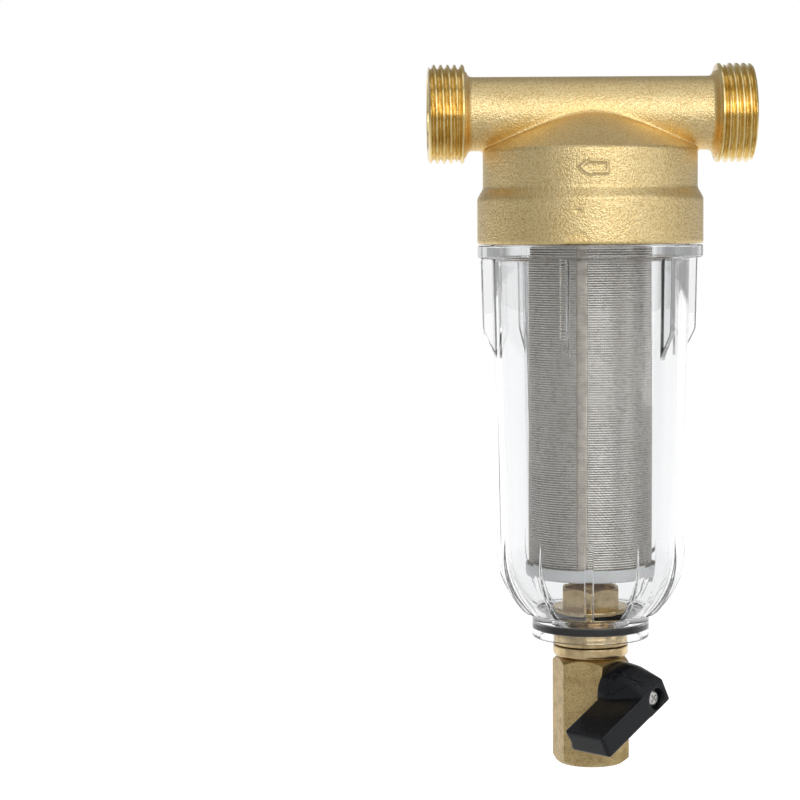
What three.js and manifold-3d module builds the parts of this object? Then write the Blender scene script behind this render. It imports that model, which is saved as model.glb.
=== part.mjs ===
// Brass water pre-filter with a screw-on clear bowl, a stainless steel screen and a drain ball valve.
// Millimetres, +Z up. The origin is where the pipe axis (X) crosses the bowl axis (Z).
// Water comes in at +X, goes down outside the screen, through it, and leaves at -X.
import * as THREE from 'three';
import { ConvexGeometry } from 'three/addons/geometries/ConvexGeometry.js';
import { mergeVertices } from 'three/addons/utils/BufferGeometryUtils.js';
import Module from 'manifold-3d';

// Driving dimensions.
const GAP = 0.25; // between pieces that touch on the real object
const OVERSHOOT = 2; // how far a cutting shape runs past the face that it opens

// Pipe run and its two male G1 ports.
const PORT_END = 54.6; // from the bowl axis to a port's end face
const PIPE_R = 12.4;
const PIPE_BORE_R = 9.6;
const MOUTH_R = 12.2;
const MOUTH_DEPTH = 10;
const PORT_THREAD = { root: 15.1, crest: 16.62, pitch: 2.309, base: 2.1, top: 0.6, segments: 16 };
const PORT_THREAD_LENGTH = 11.9;
const PORT_SHOULDER = 2.7;
const PORT_CHAMFER = 1.0;

// Bell of the head casting, which the bowl screws into.
const BELL_UPPER_R = 36.1;
const BELL_LOWER_R = 38;
const BELL_RIM_Z = -11.9;
const BELL_STEP_TOP = -25.0;
const BELL_STEP_BOTTOM = -28.4;
const BELL_BOTTOM = -43.7;
const ROOF_SLOPE = Math.tan(THREE.MathUtils.degToRad(27));
const BELL_WALL = 4.2;
const COUNTERBORE_R = 36.7; // for the gasket on the bowl's flange
const COUNTERBORE_DEPTH = 1.8;
const INLET_HOLE_R = 7.6; // from the inlet bore down into the bell
const CHAMBER_R = 13.4; // outlet chamber in the middle of the bell
const CHAMBER_WALL = 3.4;
const CHAMBER_BOTTOM = -30;
const CHAMBER_TOP = -5;

// Bowl and its thread.
const BOWL_THREAD = { root: 33.2, crest: 34.6, pitch: 4, base: 2.4, top: 1.1, segments: 24 };
const THREAD_CLEARANCE = 0.45;
const BOWL_NECK_TOP = -31;
const FLANGE_TOP = -44;
const THREAD_START = FLANGE_TOP + 2.4; // the height of the ridge's middle where its helix begins
const FLANGE_BOTTOM = -48.4;
const FLANGE_R = 38;
const BOWL_TOP_R = 33.4; // outside, under the flange
const BOWL_WALL = 2.7;
const DOME_R = 30;
const DOME_CENTRE_R = 1.8;
const DOME_CENTRE_Z = -146.3;
const FLOOR_TOP = -169.9;
const FLOOR_BOTTOM = -172;
const SKIRT_R = 19.9;
const SKIRT_INNER_R = 17.2;
const SKIRT_TOP = -169.6;
const SKIRT_BOTTOM = -177.4;
const LUG = { count: 6, first: -19, thickness: 2.2, outer: 37.8, lower: -73, end: -81.1 };
const FIN = { count: 11, first: -6.3, width: 2.5, proud: 1.2, apex: -142.5 };

// Screen cartridge.
const SCREEN_R = 20.9;
const SCREEN_THICKNESS = 0.5;
const SCREEN_TOP = -37.2;
const SCREEN_BOTTOM = -154.2;
const SEAM_AZIMUTH = -12.7;
const SEAM_WIDTH = 3.7;
const CAP_R = 22.1;
const CAP_TOP = -151.9;
const CAP_BOTTOM = -156;

// Drain fitting and ball valve.
const SPIGOT_R = 8.3; // G3/8
const SPIGOT_BORE_R = 5.5;
const LOCKNUT = { flats: 18.8, face: 25, top: -160.4, flangeR: 12.9, flange: 1.6, bore: 8.6 };
const GASKET_THICKNESS = 2.6;
const COLLAR_R = 12.5;
const RING_R = 12.8;
const RING_TOP = -180.1;
const RING_BOTTOM = -183.8;
const VALVE_TOP = -184;
const VALVE_BOTTOM = -220.6;
const VALVE_FLATS = 23.2;
const STEM_AZIMUTH = 41.5; // the stem leaves through this flat of the hexagon
const STEM_Z = -195;
const VALVE_BORE_R = 7.6;
const BALL_R = 6.6;
const BALL_BORE_R = 4.2;
const STEM_R = 3.4;
const LEVER_DROP = 28; // degrees below horizontal, where 0 is shut and 90 is open
const LEVER = { near: 12.3, far: 30.3, back: -5.2, tip: 28.3, low: -3.7, high: 4.4, hubR: 10.4, hubEnd: 16.5 };

const wasm = await Module();
wasm.setup();

// ---------- solids ----------

function signedVolume(position, index) {
  const a = new THREE.Vector3();
  const b = new THREE.Vector3();
  const c = new THREE.Vector3();
  let total = 0;
  for (let i = 0; i < index.length; i += 3) {
    a.fromBufferAttribute(position, index[i]);
    b.fromBufferAttribute(position, index[i + 1]);
    c.fromBufferAttribute(position, index[i + 2]);
    total += a.dot(b.cross(c)) / 6;
  }
  return total;
}

// A closed geometry as a solid, with shared vertices merged, slivers dropped and faces turned out.
function solid(geometry) {
  const bare = geometry.clone();
  bare.deleteAttribute('normal');
  bare.deleteAttribute('uv');
  const merged = mergeVertices(bare);
  const old = merged.index.array;
  const triangles = [];
  for (let i = 0; i < old.length; i += 3) {
    const [p, q, r] = [old[i], old[i + 1], old[i + 2]];
    if (p !== q && q !== r && r !== p) triangles.push(p, q, r);
  }
  if (signedVolume(merged.attributes.position, triangles) < 0) triangles.reverse();
  return new wasm.Manifold(new wasm.Mesh({
    numProp: 3,
    vertProperties: new Float32Array(merged.attributes.position.array),
    triVerts: new Uint32Array(triangles),
  }));
}

const join = (first, ...others) => others.reduce((whole, other) => whole.add(other), first);
const cut = (first, ...tools) => tools.reduce((whole, tool) => whole.subtract(tool), first);

function geometryOf(manifold) {
  const mesh = manifold.getMesh();
  const geometry = new THREE.BufferGeometry();
  geometry.setAttribute('position', new THREE.BufferAttribute(mesh.vertProperties, 3));
  geometry.setIndex(new THREE.BufferAttribute(mesh.triVerts, 1));
  return geometry;
}

// A profile of [radius, z] points turned about Z.
function turned(profile, segments = 40) {
  const points = profile.map(([radius, z]) => new THREE.Vector2(radius, z));
  return solid(new THREE.LatheGeometry(points, segments).rotateX(Math.PI / 2));
}

function disc(radius, low, high, segments) {
  return turned([[0, low], [radius, low], [radius, high], [0, high]], segments);
}

function ring(inner, outer, low, high, segments) {
  return turned([[inner, low], [outer, low], [outer, high], [inner, high], [inner, low]], segments);
}

// An O-ring: a round section turned about Z.
function roundRing(middle, sectionR, z, segments = 24) {
  const steps = 6;
  const profile = [];
  for (let i = 0; i <= steps; i += 1) {
    const turn = (i % steps) / steps * 2 * Math.PI;
    profile.push([middle + sectionR * Math.cos(turn), z + sectionR * Math.sin(turn)]);
  }
  return turned(profile, segments);
}

// Unit vector that faces an azimuth: 0 is -Y, the front, and 90 is +X.
function facing(azimuth) {
  const angle = THREE.MathUtils.degToRad(azimuth);
  return new THREE.Vector3(Math.sin(angle), -Math.cos(angle), 0);
}

// Lays a solid made about +Z so that +Z points along `axis`, +Y along `up`, and moves it to `origin`.
function laid(shape, axis, up, origin = new THREE.Vector3()) {
  const side = new THREE.Vector3().crossVectors(up, axis);
  const matrix = new THREE.Matrix4().makeBasis(side, up, axis).setPosition(origin);
  return shape.transform(matrix.toArray());
}

const UP = new THREE.Vector3(0, 0, 1);
const FORWARD = new THREE.Vector3(0, 1, 0);
const alongX = (shape, sign = 1) => laid(shape, new THREE.Vector3(sign, 0, 0), FORWARD);

// A [radius, z] outline given a thickness, standing on the bowl axis and facing an azimuth.
function radialPlate(outline, thickness, azimuth) {
  const shape = new THREE.Shape(outline.map(([radius, z]) => new THREE.Vector2(radius, z)));
  const plate = new THREE.ExtrudeGeometry(shape, { depth: thickness, bevelEnabled: false });
  plate.translate(0, 0, -thickness / 2);
  const out = facing(azimuth);
  const across = new THREE.Vector3().crossVectors(out, UP);
  plate.applyMatrix4(new THREE.Matrix4().makeBasis(out, UP, across));
  return solid(plate);
}

function hexPrism(flats, low, high, faceAzimuth) {
  const corners = [];
  for (let i = 0; i < 6; i += 1) {
    const corner = facing(faceAzimuth + 30 + 60 * i).multiplyScalar(flats / Math.sqrt(3));
    corners.push(new THREE.Vector2(corner.x, corner.y));
  }
  const depth = high - low;
  const prism = new THREE.ExtrudeGeometry(new THREE.Shape(corners), { depth, bevelEnabled: false });
  return solid(prism.translate(0, 0, low));
}

function box(low, high) {
  const size = high.map((value, i) => value - low[i]);
  const middle = high.map((value, i) => (value + low[i]) / 2);
  return solid(new THREE.BoxGeometry(...size).translate(...middle));
}

// The helical ridge of a screw thread about Z. It is right-handed, and its root is sunk into the core.
function threadRidge(thread, low, high, clearance = 0) {
  const sink = 0.6;
  const half = thread.base / 2 + clearance;
  const tip = thread.top / 2 + clearance;
  const section = [
    [thread.root - sink, -half], [thread.root, -half], [thread.crest + clearance, -tip],
    [thread.crest + clearance, tip], [thread.root, half], [thread.root - sink, half],
  ];
  const steps = Math.round((high - low) / thread.pitch * thread.segments);
  const positions = [];
  for (let i = 0; i <= steps; i += 1) {
    const turn = i / thread.segments * 2 * Math.PI;
    const rise = low + i / thread.segments * thread.pitch;
    for (const [radius, z] of section) {
      positions.push(radius * Math.cos(turn), radius * Math.sin(turn), rise + z);
    }
  }
  const n = section.length;
  const index = [];
  for (let i = 0; i < steps; i += 1) {
    for (let j = 0; j < n; j += 1) {
      const here = i * n + j;
      const next = i * n + (j + 1) % n;
      index.push(here, here + n, next, next, here + n, next + n);
    }
  }
  for (let j = 1; j < n - 1; j += 1) {
    index.push(0, j, j + 1);
    index.push(steps * n, steps * n + j + 1, steps * n + j);
  }
  const geometry = new THREE.BufferGeometry();
  geometry.setAttribute('position', new THREE.Float32BufferAttribute(positions, 3));
  geometry.setIndex(index);
  return solid(geometry);
}

// ---------- head ----------

const roofZ = (radius) => BELL_RIM_Z + (BELL_UPPER_R - radius) * ROOF_SLOPE;

function portThread() {
  const start = PORT_END - PORT_THREAD_LENGTH;
  const { root, crest, pitch } = PORT_THREAD;
  const core = turned([
    [0, start - PORT_SHOULDER], [PIPE_R - 0.2, start - PORT_SHOULDER], [crest, start],
    [crest, start + 0.8], [root, start + 0.8 + crest - root], [root, PORT_END], [0, PORT_END],
  ], PORT_THREAD.segments);
  const ridge = threadRidge(PORT_THREAD, start + 1.2, PORT_END + pitch);
  const envelope = turned([
    [0, start], [crest + 1, start], [crest + 1, PORT_END - PORT_CHAMFER - 1],
    [crest - PORT_CHAMFER, PORT_END], [0, PORT_END],
  ], PORT_THREAD.segments);
  return core.add(ridge.intersect(envelope));
}

// A raised outline arrow on the front of the bell, pointing along -X.
function flowArrow() {
  const half = 4.5;
  const neck = -0.7;
  const headHalf = 2.9;
  const shaftHalf = 2.1;
  const middleX = -1.7;
  const outline = (inset) => [
    [inset * 1.8 - half, 0], [neck - inset, headHalf - inset * 1.85], [neck - inset, shaftHalf - inset],
    [half - inset, shaftHalf - inset], [half - inset, inset - shaftHalf],
    [neck - inset, inset - shaftHalf], [neck - inset, inset * 1.85 - headHalf],
  ].map(([x, z]) => new THREE.Vector2(x, z));
  const plate = (inset, depth) => {
    const arrow = new THREE.ExtrudeGeometry(new THREE.Shape(outline(inset)), { depth, bevelEnabled: false });
    arrow.rotateX(Math.PI / 2).translate(middleX, 2.1 - BELL_UPPER_R, (BELL_RIM_Z + BELL_STEP_TOP) / 2);
    return solid(arrow);
  };
  return cut(plate(0, 2.6), plate(0.5, 4));
}

function headOutside() {
  const bell = turned([
    [0, BELL_BOTTOM], [BELL_LOWER_R - 0.5, BELL_BOTTOM], [BELL_LOWER_R, BELL_BOTTOM + 0.8],
    [BELL_LOWER_R, BELL_STEP_BOTTOM], [BELL_UPPER_R, BELL_STEP_TOP], [BELL_UPPER_R, BELL_RIM_Z - 0.8],
    [BELL_UPPER_R - 0.8, roofZ(BELL_UPPER_R - 0.8)], [0, roofZ(0)],
  ], 36);
  const pipeHalf = PORT_END - PORT_THREAD_LENGTH;
  const pipe = alongX(disc(PIPE_R, -pipeHalf, pipeHalf, 24));
  return join(bell, pipe, alongX(portThread()), alongX(portThread(), -1), flowArrow());
}

const portBore = (from) => join(
  disc(PIPE_BORE_R, from, PORT_END + OVERSHOOT, 20),
  turned([
    [0, PORT_END - MOUTH_DEPTH - 2.6], [PIPE_BORE_R, PORT_END - MOUTH_DEPTH - 2.6],
    [MOUTH_R, PORT_END - MOUTH_DEPTH], [MOUTH_R, PORT_END + OVERSHOOT], [0, PORT_END + OVERSHOOT],
  ], 20),
);

// The space that raw water fills: the bell round the outlet chamber, and the inlet bore down to it.
function inletSpace() {
  const innerR = BELL_UPPER_R - BELL_WALL;
  const drop = BELL_WALL / Math.cos(Math.atan(ROOF_SLOPE));
  const threadBore = BOWL_THREAD.root + THREAD_CLEARANCE;
  const relief = BOWL_THREAD.crest + THREAD_CLEARANCE;
  const bell = turned([
    [0, BELL_BOTTOM - OVERSHOOT], [COUNTERBORE_R, BELL_BOTTOM - OVERSHOOT],
    [COUNTERBORE_R, BELL_BOTTOM + COUNTERBORE_DEPTH], [threadBore, BELL_BOTTOM + COUNTERBORE_DEPTH], [threadBore, BOWL_NECK_TOP + 0.7], [relief, BOWL_NECK_TOP + 0.7],
    [relief, BOWL_NECK_TOP + 2.2], [innerR, BOWL_NECK_TOP + 4.6], [innerR, roofZ(innerR) - drop],
    [0, roofZ(0) - drop],
  ], 36);
  const chamber = disc(CHAMBER_R + CHAMBER_WALL, CHAMBER_BOTTOM, PIPE_R + OVERSHOOT, 36);
  const outletPipe = alongX(disc(PIPE_R, 0, PORT_END, 24), -1);
  const inletHoleX = CHAMBER_R + CHAMBER_WALL + 8.8;
  const inletHole = disc(INLET_HOLE_R, BELL_STEP_TOP, 0, 24).translate([inletHoleX, 0, 0]);
  return join(cut(bell, chamber, outletPipe), alongX(portBore(CHAMBER_R + 4.6)), inletHole);
}

function outletSpace() {
  const chamber = turned([
    [0, CHAMBER_BOTTOM - OVERSHOOT], [CHAMBER_R, CHAMBER_BOTTOM - OVERSHOOT],
    [CHAMBER_R, CHAMBER_TOP - 3], [CHAMBER_R - 3, CHAMBER_TOP], [0, CHAMBER_TOP],
  ], 36);
  return chamber.add(alongX(portBore(4 - CHAMBER_R), -1));
}

function headCasting() {
  const first = THREAD_START - BOWL_THREAD.pitch;
  const groove = threadRidge(BOWL_THREAD, first, BOWL_NECK_TOP + 1.6, THREAD_CLEARANCE);
  return cut(headOutside(), inletSpace(), outletSpace(), groove);
}

// ---------- bowl ----------

// Points on an arc about the dome's centre, between two heights.
function domeArc(radius, fromZ, toZ, steps) {
  const points = [];
  for (let i = 0; i <= steps; i += 1) {
    const start = Math.asin((DOME_CENTRE_Z - fromZ) / radius);
    const end = Math.asin((DOME_CENTRE_Z - toZ) / radius);
    const angle = start + (end - start) * i / steps;
    points.push([DOME_CENTRE_R + radius * Math.cos(angle), DOME_CENTRE_Z - radius * Math.sin(angle)]);
  }
  return points;
}

function bowlShell() {
  const innerTop = BOWL_TOP_R - BOWL_WALL;
  const innerDome = DOME_R - BOWL_WALL;
  const outside = [
    [BOWL_THREAD.root - 0.8, BOWL_NECK_TOP], [BOWL_THREAD.root, BOWL_NECK_TOP - 0.8],
    [BOWL_THREAD.root, FLANGE_TOP], [FLANGE_R - 0.5, FLANGE_TOP], [FLANGE_R, FLANGE_TOP - 0.6],
    [FLANGE_R, FLANGE_BOTTOM + 0.8], [FLANGE_R - 0.8, FLANGE_BOTTOM], [BOWL_TOP_R + 0.8, FLANGE_BOTTOM],
    [BOWL_TOP_R, FLANGE_BOTTOM - 1],
    ...domeArc(DOME_R, DOME_CENTRE_Z, SKIRT_TOP + 0.6, 4),
    [SKIRT_R, SKIRT_TOP], [SKIRT_R, SKIRT_BOTTOM + 1.2], [SKIRT_R - 0.4, SKIRT_BOTTOM + 0.3],
    [SKIRT_R - 1.2, SKIRT_BOTTOM],
  ];
  const inside = [
    [SKIRT_INNER_R, SKIRT_BOTTOM], [SKIRT_INNER_R, FLOOR_BOTTOM],
    [SPIGOT_R + 0.4, FLOOR_BOTTOM], [SPIGOT_R + 0.4, FLOOR_TOP],
    ...domeArc(innerDome, FLOOR_TOP, DOME_CENTRE_Z, 4),
    [innerTop, FLANGE_BOTTOM], [innerTop, BOWL_NECK_TOP],
  ];
  return turned([...outside, ...inside, outside[0]], 36);
}

function bowlLug(i) {
  const sunk = BOWL_TOP_R - 1.6;
  const outline = [
    [sunk, FLANGE_BOTTOM + 1], [LUG.outer, FLANGE_BOTTOM + 1], [LUG.outer - 0.5, LUG.lower],
    [BOWL_TOP_R - 0.6, LUG.end], [sunk, LUG.end],
  ];
  return radialPlate(outline, LUG.thickness, LUG.first + i * 360 / LUG.count);
}

function bowlFin(i) {
  const outer = domeArc(DOME_R + FIN.proud, DOME_CENTRE_Z - 9, SKIRT_TOP - 1, 3);
  const inner = domeArc(DOME_R - 1.2, SKIRT_TOP, DOME_CENTRE_Z, 2);
  const apexR = DOME_CENTRE_R + DOME_R + 0.02;
  const outline = [[apexR, FIN.apex], ...outer, ...inner, [apexR - 1.2, FIN.apex]];
  return radialPlate(outline, FIN.width, FIN.first + i * 360 / FIN.count);
}

function clearBowl() {
  const ridge = threadRidge(BOWL_THREAD, THREAD_START, BOWL_NECK_TOP + 2);
  const neck = disc(BOWL_THREAD.crest + 1, FLANGE_TOP - 0.5, BOWL_NECK_TOP - 0.4, 24);
  const lugs = Array.from({ length: LUG.count }, (_, i) => bowlLug(i));
  const fins = Array.from({ length: FIN.count }, (_, i) => bowlFin(i));
  return join(bowlShell(), ridge.intersect(neck), ...lugs, ...fins);
}

function bowlGasket() {
  return ring(BOWL_THREAD.crest + 0.4, COUNTERBORE_R - GAP, FLANGE_TOP + GAP, FLANGE_TOP + 1.8, 40);
}

// ---------- screen cartridge ----------

function screenMesh() {
  const tube = ring(SCREEN_R - SCREEN_THICKNESS, SCREEN_R, SCREEN_BOTTOM, SCREEN_TOP, 36);
  const outline = [
    [SCREEN_R - 0.3, SCREEN_BOTTOM + 3], [SCREEN_R + 0.25, SCREEN_BOTTOM + 3],
    [SCREEN_R + 0.25, SCREEN_TOP - 6], [SCREEN_R - 0.3, SCREEN_TOP - 6],
  ];
  return tube.add(radialPlate(outline, SEAM_WIDTH, SEAM_AZIMUTH));
}

// Perforated tube that keeps the mesh round.
function screenSupport() {
  const outer = SCREEN_R - SCREEN_THICKNESS - GAP;
  const windowRows = 4;
  const windowDirections = 3;
  const top = SCREEN_TOP - 3;
  const pitch = (top - SCREEN_BOTTOM - 3) / windowRows;
  const cutters = [];
  for (let row = 0; row < windowRows; row += 1) {
    const middle = top - (row + 0.5) * pitch;
    for (let i = 0; i < windowDirections; i += 1) {
      const window = box([-outer - 2, -6.5, middle - pitch * 0.4], [outer + 2, 6.5, middle + pitch * 0.4]);
      cutters.push(window.rotate([0, 0, (i + 0.5) * 180 / windowDirections]));
    }
  }
  return cut(ring(outer - 0.8, outer, SCREEN_BOTTOM, SCREEN_TOP, 28), ...cutters);
}

const COLLAR_SHELF = SCREEN_TOP + GAP;
const COLLAR_TOP = COLLAR_SHELF + 2.4;
const PLUG_TOP = COLLAR_TOP + 16;
const PLUG_R = CHAMBER_R - 0.35;
const PLUG_GROOVE = COLLAR_TOP + 11.6;

function screenTopCollar() {
  const skirtR = SCREEN_R + 0.5 + GAP;
  const bore = PLUG_R - 2.6;
  return turned([
    [bore, COLLAR_SHELF], [skirtR, COLLAR_SHELF], [skirtR, COLLAR_SHELF - 4.6],
    [skirtR + 1.1, COLLAR_SHELF - 4.6], [skirtR + 1.1, COLLAR_TOP], [PLUG_R, COLLAR_TOP],
    [PLUG_R, PLUG_GROOVE], [PLUG_R - 1.4, PLUG_GROOVE], [PLUG_R - 1.4, PLUG_GROOVE + 2.2],
    [PLUG_R, PLUG_GROOVE + 2.2], [PLUG_R, PLUG_TOP - 0.8], [PLUG_R - 0.8, PLUG_TOP],
    [bore, PLUG_TOP], [bore, COLLAR_SHELF],
  ], 28);
}

const screenTopOring = () => roundRing(PLUG_R - 0.52, 0.7, PLUG_GROOVE + 1.1);

function screenBottomCap() {
  const rim = SCREEN_R + 0.25 + GAP;
  return turned([
    [0, CAP_BOTTOM], [CAP_R - 1, CAP_BOTTOM], [CAP_R, CAP_BOTTOM + 1], [CAP_R, CAP_TOP],
    [rim, CAP_TOP], [rim, SCREEN_BOTTOM - GAP], [0, SCREEN_BOTTOM - GAP],
  ], 28);
}

// ---------- drain fitting ----------

const WASHER_TOP = FLOOR_TOP + GAP + 0.7;
const NUT_BOTTOM = WASHER_TOP + GAP;
const GASKET_TOP = FLOOR_BOTTOM - GAP;
const COLLAR_Z = GASKET_TOP - GASKET_THICKNESS - GAP;
const SPIGOT_BOTTOM = VALVE_TOP - 2.7;

function drainLocknut() {
  const flangeTop = NUT_BOTTOM + LOCKNUT.flange;
  const hex = hexPrism(LOCKNUT.flats, NUT_BOTTOM, LOCKNUT.top, LOCKNUT.face);
  const turnedTop = turned([
    [0, NUT_BOTTOM], [LOCKNUT.flangeR, NUT_BOTTOM], [LOCKNUT.flangeR, LOCKNUT.top - 2.2],
    [LOCKNUT.flats / 2, LOCKNUT.top], [0, LOCKNUT.top],
  ], 28);
  const flange = disc(LOCKNUT.flangeR, NUT_BOTTOM, flangeTop, 32);
  const bore = disc(LOCKNUT.bore, NUT_BOTTOM - OVERSHOOT, LOCKNUT.top + OVERSHOOT, 28);
  return cut(join(hex.intersect(turnedTop), flange), bore);
}

const locknutWasher = () => ring(SPIGOT_R + 0.4, LOCKNUT.flangeR + 0.2, FLOOR_TOP + GAP, WASHER_TOP, 32);
const neckGasket = () => ring(
  SPIGOT_R + 0.4, SKIRT_INNER_R - GAP, GASKET_TOP - GASKET_THICKNESS, GASKET_TOP, 36,
);
const lockRing = () => turned([
  [SPIGOT_R + 0.3, RING_TOP], [RING_R, RING_TOP], [RING_R, RING_BOTTOM + 1.2],
  [RING_R - 1.2, RING_BOTTOM], [SPIGOT_R + 0.3, RING_BOTTOM], [SPIGOT_R + 0.3, RING_TOP],
], 36);

function drainSpigot() {
  return turned([
    [SPIGOT_BORE_R, LOCKNUT.top - 2.7], [SPIGOT_R - 0.6, LOCKNUT.top - 2.7],
    [SPIGOT_R, LOCKNUT.top - 3.3], [SPIGOT_R, COLLAR_Z], [COLLAR_R, COLLAR_Z],
    [COLLAR_R, RING_TOP + GAP], [SPIGOT_R, RING_TOP + GAP], [SPIGOT_R, SPIGOT_BOTTOM],
    [SPIGOT_BORE_R, SPIGOT_BOTTOM], [SPIGOT_BORE_R, LOCKNUT.top - 2.7],
  ], 28);
}

// ---------- ball valve ----------

const STEM_AXIS = facing(STEM_AZIMUTH);
const LEVER_LEVEL = new THREE.Vector3().crossVectors(STEM_AXIS, UP);
const LEVER_DIRECTION = LEVER_LEVEL.clone().applyAxisAngle(STEM_AXIS, THREE.MathUtils.degToRad(LEVER_DROP));
const VALVE_CENTRE = new THREE.Vector3(0, 0, STEM_Z);
const aboutStem = (shape) => laid(shape, STEM_AXIS, LEVER_DIRECTION, VALVE_CENTRE);
const WALL_OUT = VALVE_FLATS / 2; // from the valve's centre to its flat

const SHOULDER = { r: 4.6, from: 7.7, to: 8.6 };
const THRUST_END = SHOULDER.to + 0.9;
const ORING_GROOVE = { from: 10.0, to: 11.4, r: 2.5 };

function valveBody() {
  const cornerR = VALVE_FLATS / Math.sqrt(3);
  const hex = hexPrism(VALVE_FLATS, VALVE_BOTTOM, VALVE_TOP, STEM_AZIMUTH);
  const envelope = turned([
    [0, VALVE_BOTTOM], [WALL_OUT - 1.2, VALVE_BOTTOM], [cornerR + 0.1, VALVE_BOTTOM + 2.8],
    [cornerR + 0.1, VALVE_TOP - 2], [WALL_OUT + 0.2, VALVE_TOP - 0.6], [WALL_OUT - 0.6, VALVE_TOP],
    [0, VALVE_TOP],
  ], 36);
  const topBore = disc(SPIGOT_R + 0.3, SPIGOT_BOTTOM - GAP, VALVE_TOP + OVERSHOOT, 28);
  const passage = disc(BALL_BORE_R + 0.4, SPIGOT_BOTTOM - OVERSHOOT, VALVE_TOP, 24);
  const ballBore = disc(VALVE_BORE_R, VALVE_BOTTOM - OVERSHOOT, SPIGOT_BOTTOM - GAP - 1.5, 28);
  const stemBore = aboutStem(disc(STEM_R + 0.3, 0, WALL_OUT + OVERSHOOT, 24));
  const pocket = aboutStem(disc(SHOULDER.r + 0.3, 0, THRUST_END + 0.2, 24));
  return cut(hex.intersect(envelope), topBore, passage, ballBore, stemBore, pocket);
}

const STEM_TANG = { width: 2.6, half: 2.75, reach: 4.6 }; // half: short enough to turn between the seats

function valveBall() {
  const ball = solid(new THREE.SphereGeometry(BALL_R, 20, 12));
  const bore = laid(disc(BALL_BORE_R, -BALL_R - 1, BALL_R + 1, 24), LEVER_DIRECTION, STEM_AXIS);
  const slot = laid(
    box([-STEM_TANG.width / 2 - 0.2, -BALL_R, STEM_TANG.reach], [STEM_TANG.width / 2 + 0.2, BALL_R, BALL_R + 1]),
    STEM_AXIS, LEVER_DIRECTION,
  );
  return cut(ball, bore, slot).translate(VALVE_CENTRE.toArray());
}

// A seat ring's section: flat outside, and coned where the ball bears on it.
function seat(side) {
  const z = (offset) => STEM_Z + side * offset;
  return turned([
    [4.6, z(5.8)], [VALVE_BORE_R - 0.3, z(5.8)], [VALVE_BORE_R - 0.3, z(3)], [6.4, z(3)],
    [4.9, z(4.9)], [4.6, z(5.8)],
  ], 28);
}

function ballRetainer() {
  const top = STEM_Z - 6.1;
  const body = disc(VALVE_BORE_R - 0.3, top - 5, top, 28);
  const bore = disc(BALL_BORE_R, top - 5 - OVERSHOOT, top + OVERSHOOT, 24);
  return cut(body, bore, hexPrism(10, top - 5 - OVERSHOOT, top - 2.4, STEM_AZIMUTH));
}

const STEM_END = 25;
const STEM_FLAT = 2.6; // from the stem's axis to each flat that drives the lever

function valveStem() {
  const shaft = turned([
    [0, SHOULDER.from], [SHOULDER.r, SHOULDER.from], [SHOULDER.r, SHOULDER.to],
    [STEM_R, SHOULDER.to], [STEM_R, ORING_GROOVE.from], [ORING_GROOVE.r, ORING_GROOVE.from],
    [ORING_GROOVE.r, ORING_GROOVE.to], [STEM_R, ORING_GROOVE.to], [STEM_R, STEM_END], [0, STEM_END],
  ], 24);
  const tang = box(
    [-STEM_TANG.width / 2, -STEM_TANG.half, STEM_TANG.reach + 0.3],
    [STEM_TANG.width / 2, STEM_TANG.half, SHOULDER.from + 0.3],
  );
  const flats = [-1, 1].map((side) => box(
    [Math.min(side * STEM_FLAT, side * 6), -6, WALL_OUT + 1.6],
    [Math.max(side * STEM_FLAT, side * 6), 6, STEM_END + 1],
  ));
  const hole = disc(1.8, STEM_END - 8.5, STEM_END + 1, 16);
  return aboutStem(cut(join(shaft, tang), ...flats, hole));
}

const stemThrustWasher = () => aboutStem(ring(STEM_R + 0.2, SHOULDER.r, SHOULDER.to + 0.2, THRUST_END, 24));
const stemOring = () => aboutStem(roundRing(3.07, 0.52, (ORING_GROOVE.from + ORING_GROOVE.to) / 2, 24));

// ---------- handle ----------

const SCREW_SEAT = 26.8; // from the valve's centre to the underside of the screw's head
const RECESS_R = 3.5;
const SCREW_HEAD = { r: 2.95, side: 1, top: 2.2, crownR: 2 };

// The lever in its own axes: x across its thickness, y along it, z out along the stem.
function leverSolid() {
  const { near, far, back, tip, low, high, hubR, hubEnd } = LEVER;
  const paddle = [];
  for (const [y, shrink] of [[0, 0], [tip - 0.8, 0], [tip, 0.8]]) {
    for (const z of [near + 1 + shrink, far - shrink]) {
      for (const x of [low + shrink, high - shrink]) {
        paddle.push(new THREE.Vector3(x, y, z));
      }
    }
  }
  const hub = [];
  for (let i = 0; i < 24; i += 1) {
    const turn = i / 24 * 2 * Math.PI;
    for (const [z, share] of [[near, 1], [hubEnd, 1], [hubEnd + 3, 0.95], [hubEnd + 6.5, 0.82]]) {
      hub.push(new THREE.Vector3(hubR * share * Math.cos(turn), hubR * share * Math.sin(turn), z));
    }
  }
  for (const y of [back, -back]) {
    for (const x of [low, high]) {
      hub.push(new THREE.Vector3(x, y, far));
    }
  }
  return join(solid(new ConvexGeometry(paddle)), solid(new ConvexGeometry(hub)));
}

function handleLever() {
  const socket = disc(STEM_R + 0.3, 0, STEM_END + GAP, 24).intersect(
    box([-STEM_FLAT - 0.3, -6, 0], [STEM_FLAT + 0.3, 6, STEM_END + 1]),
  );
  const entry = disc(STEM_R + 0.3, 0, WALL_OUT + 2, 24);
  const screwHole = disc(1.9, STEM_END - 1, SCREW_SEAT + 1, 16);
  const recess = disc(RECESS_R, SCREW_SEAT - 1, LEVER.far + OVERSHOOT, 28);
  return aboutStem(cut(leverSolid(), socket, entry, screwHole, recess));
}

const screwWasher = () => aboutStem(ring(1.9, 3.3, SCREW_SEAT - 0.7, SCREW_SEAT - 0.15, 24));

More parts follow.
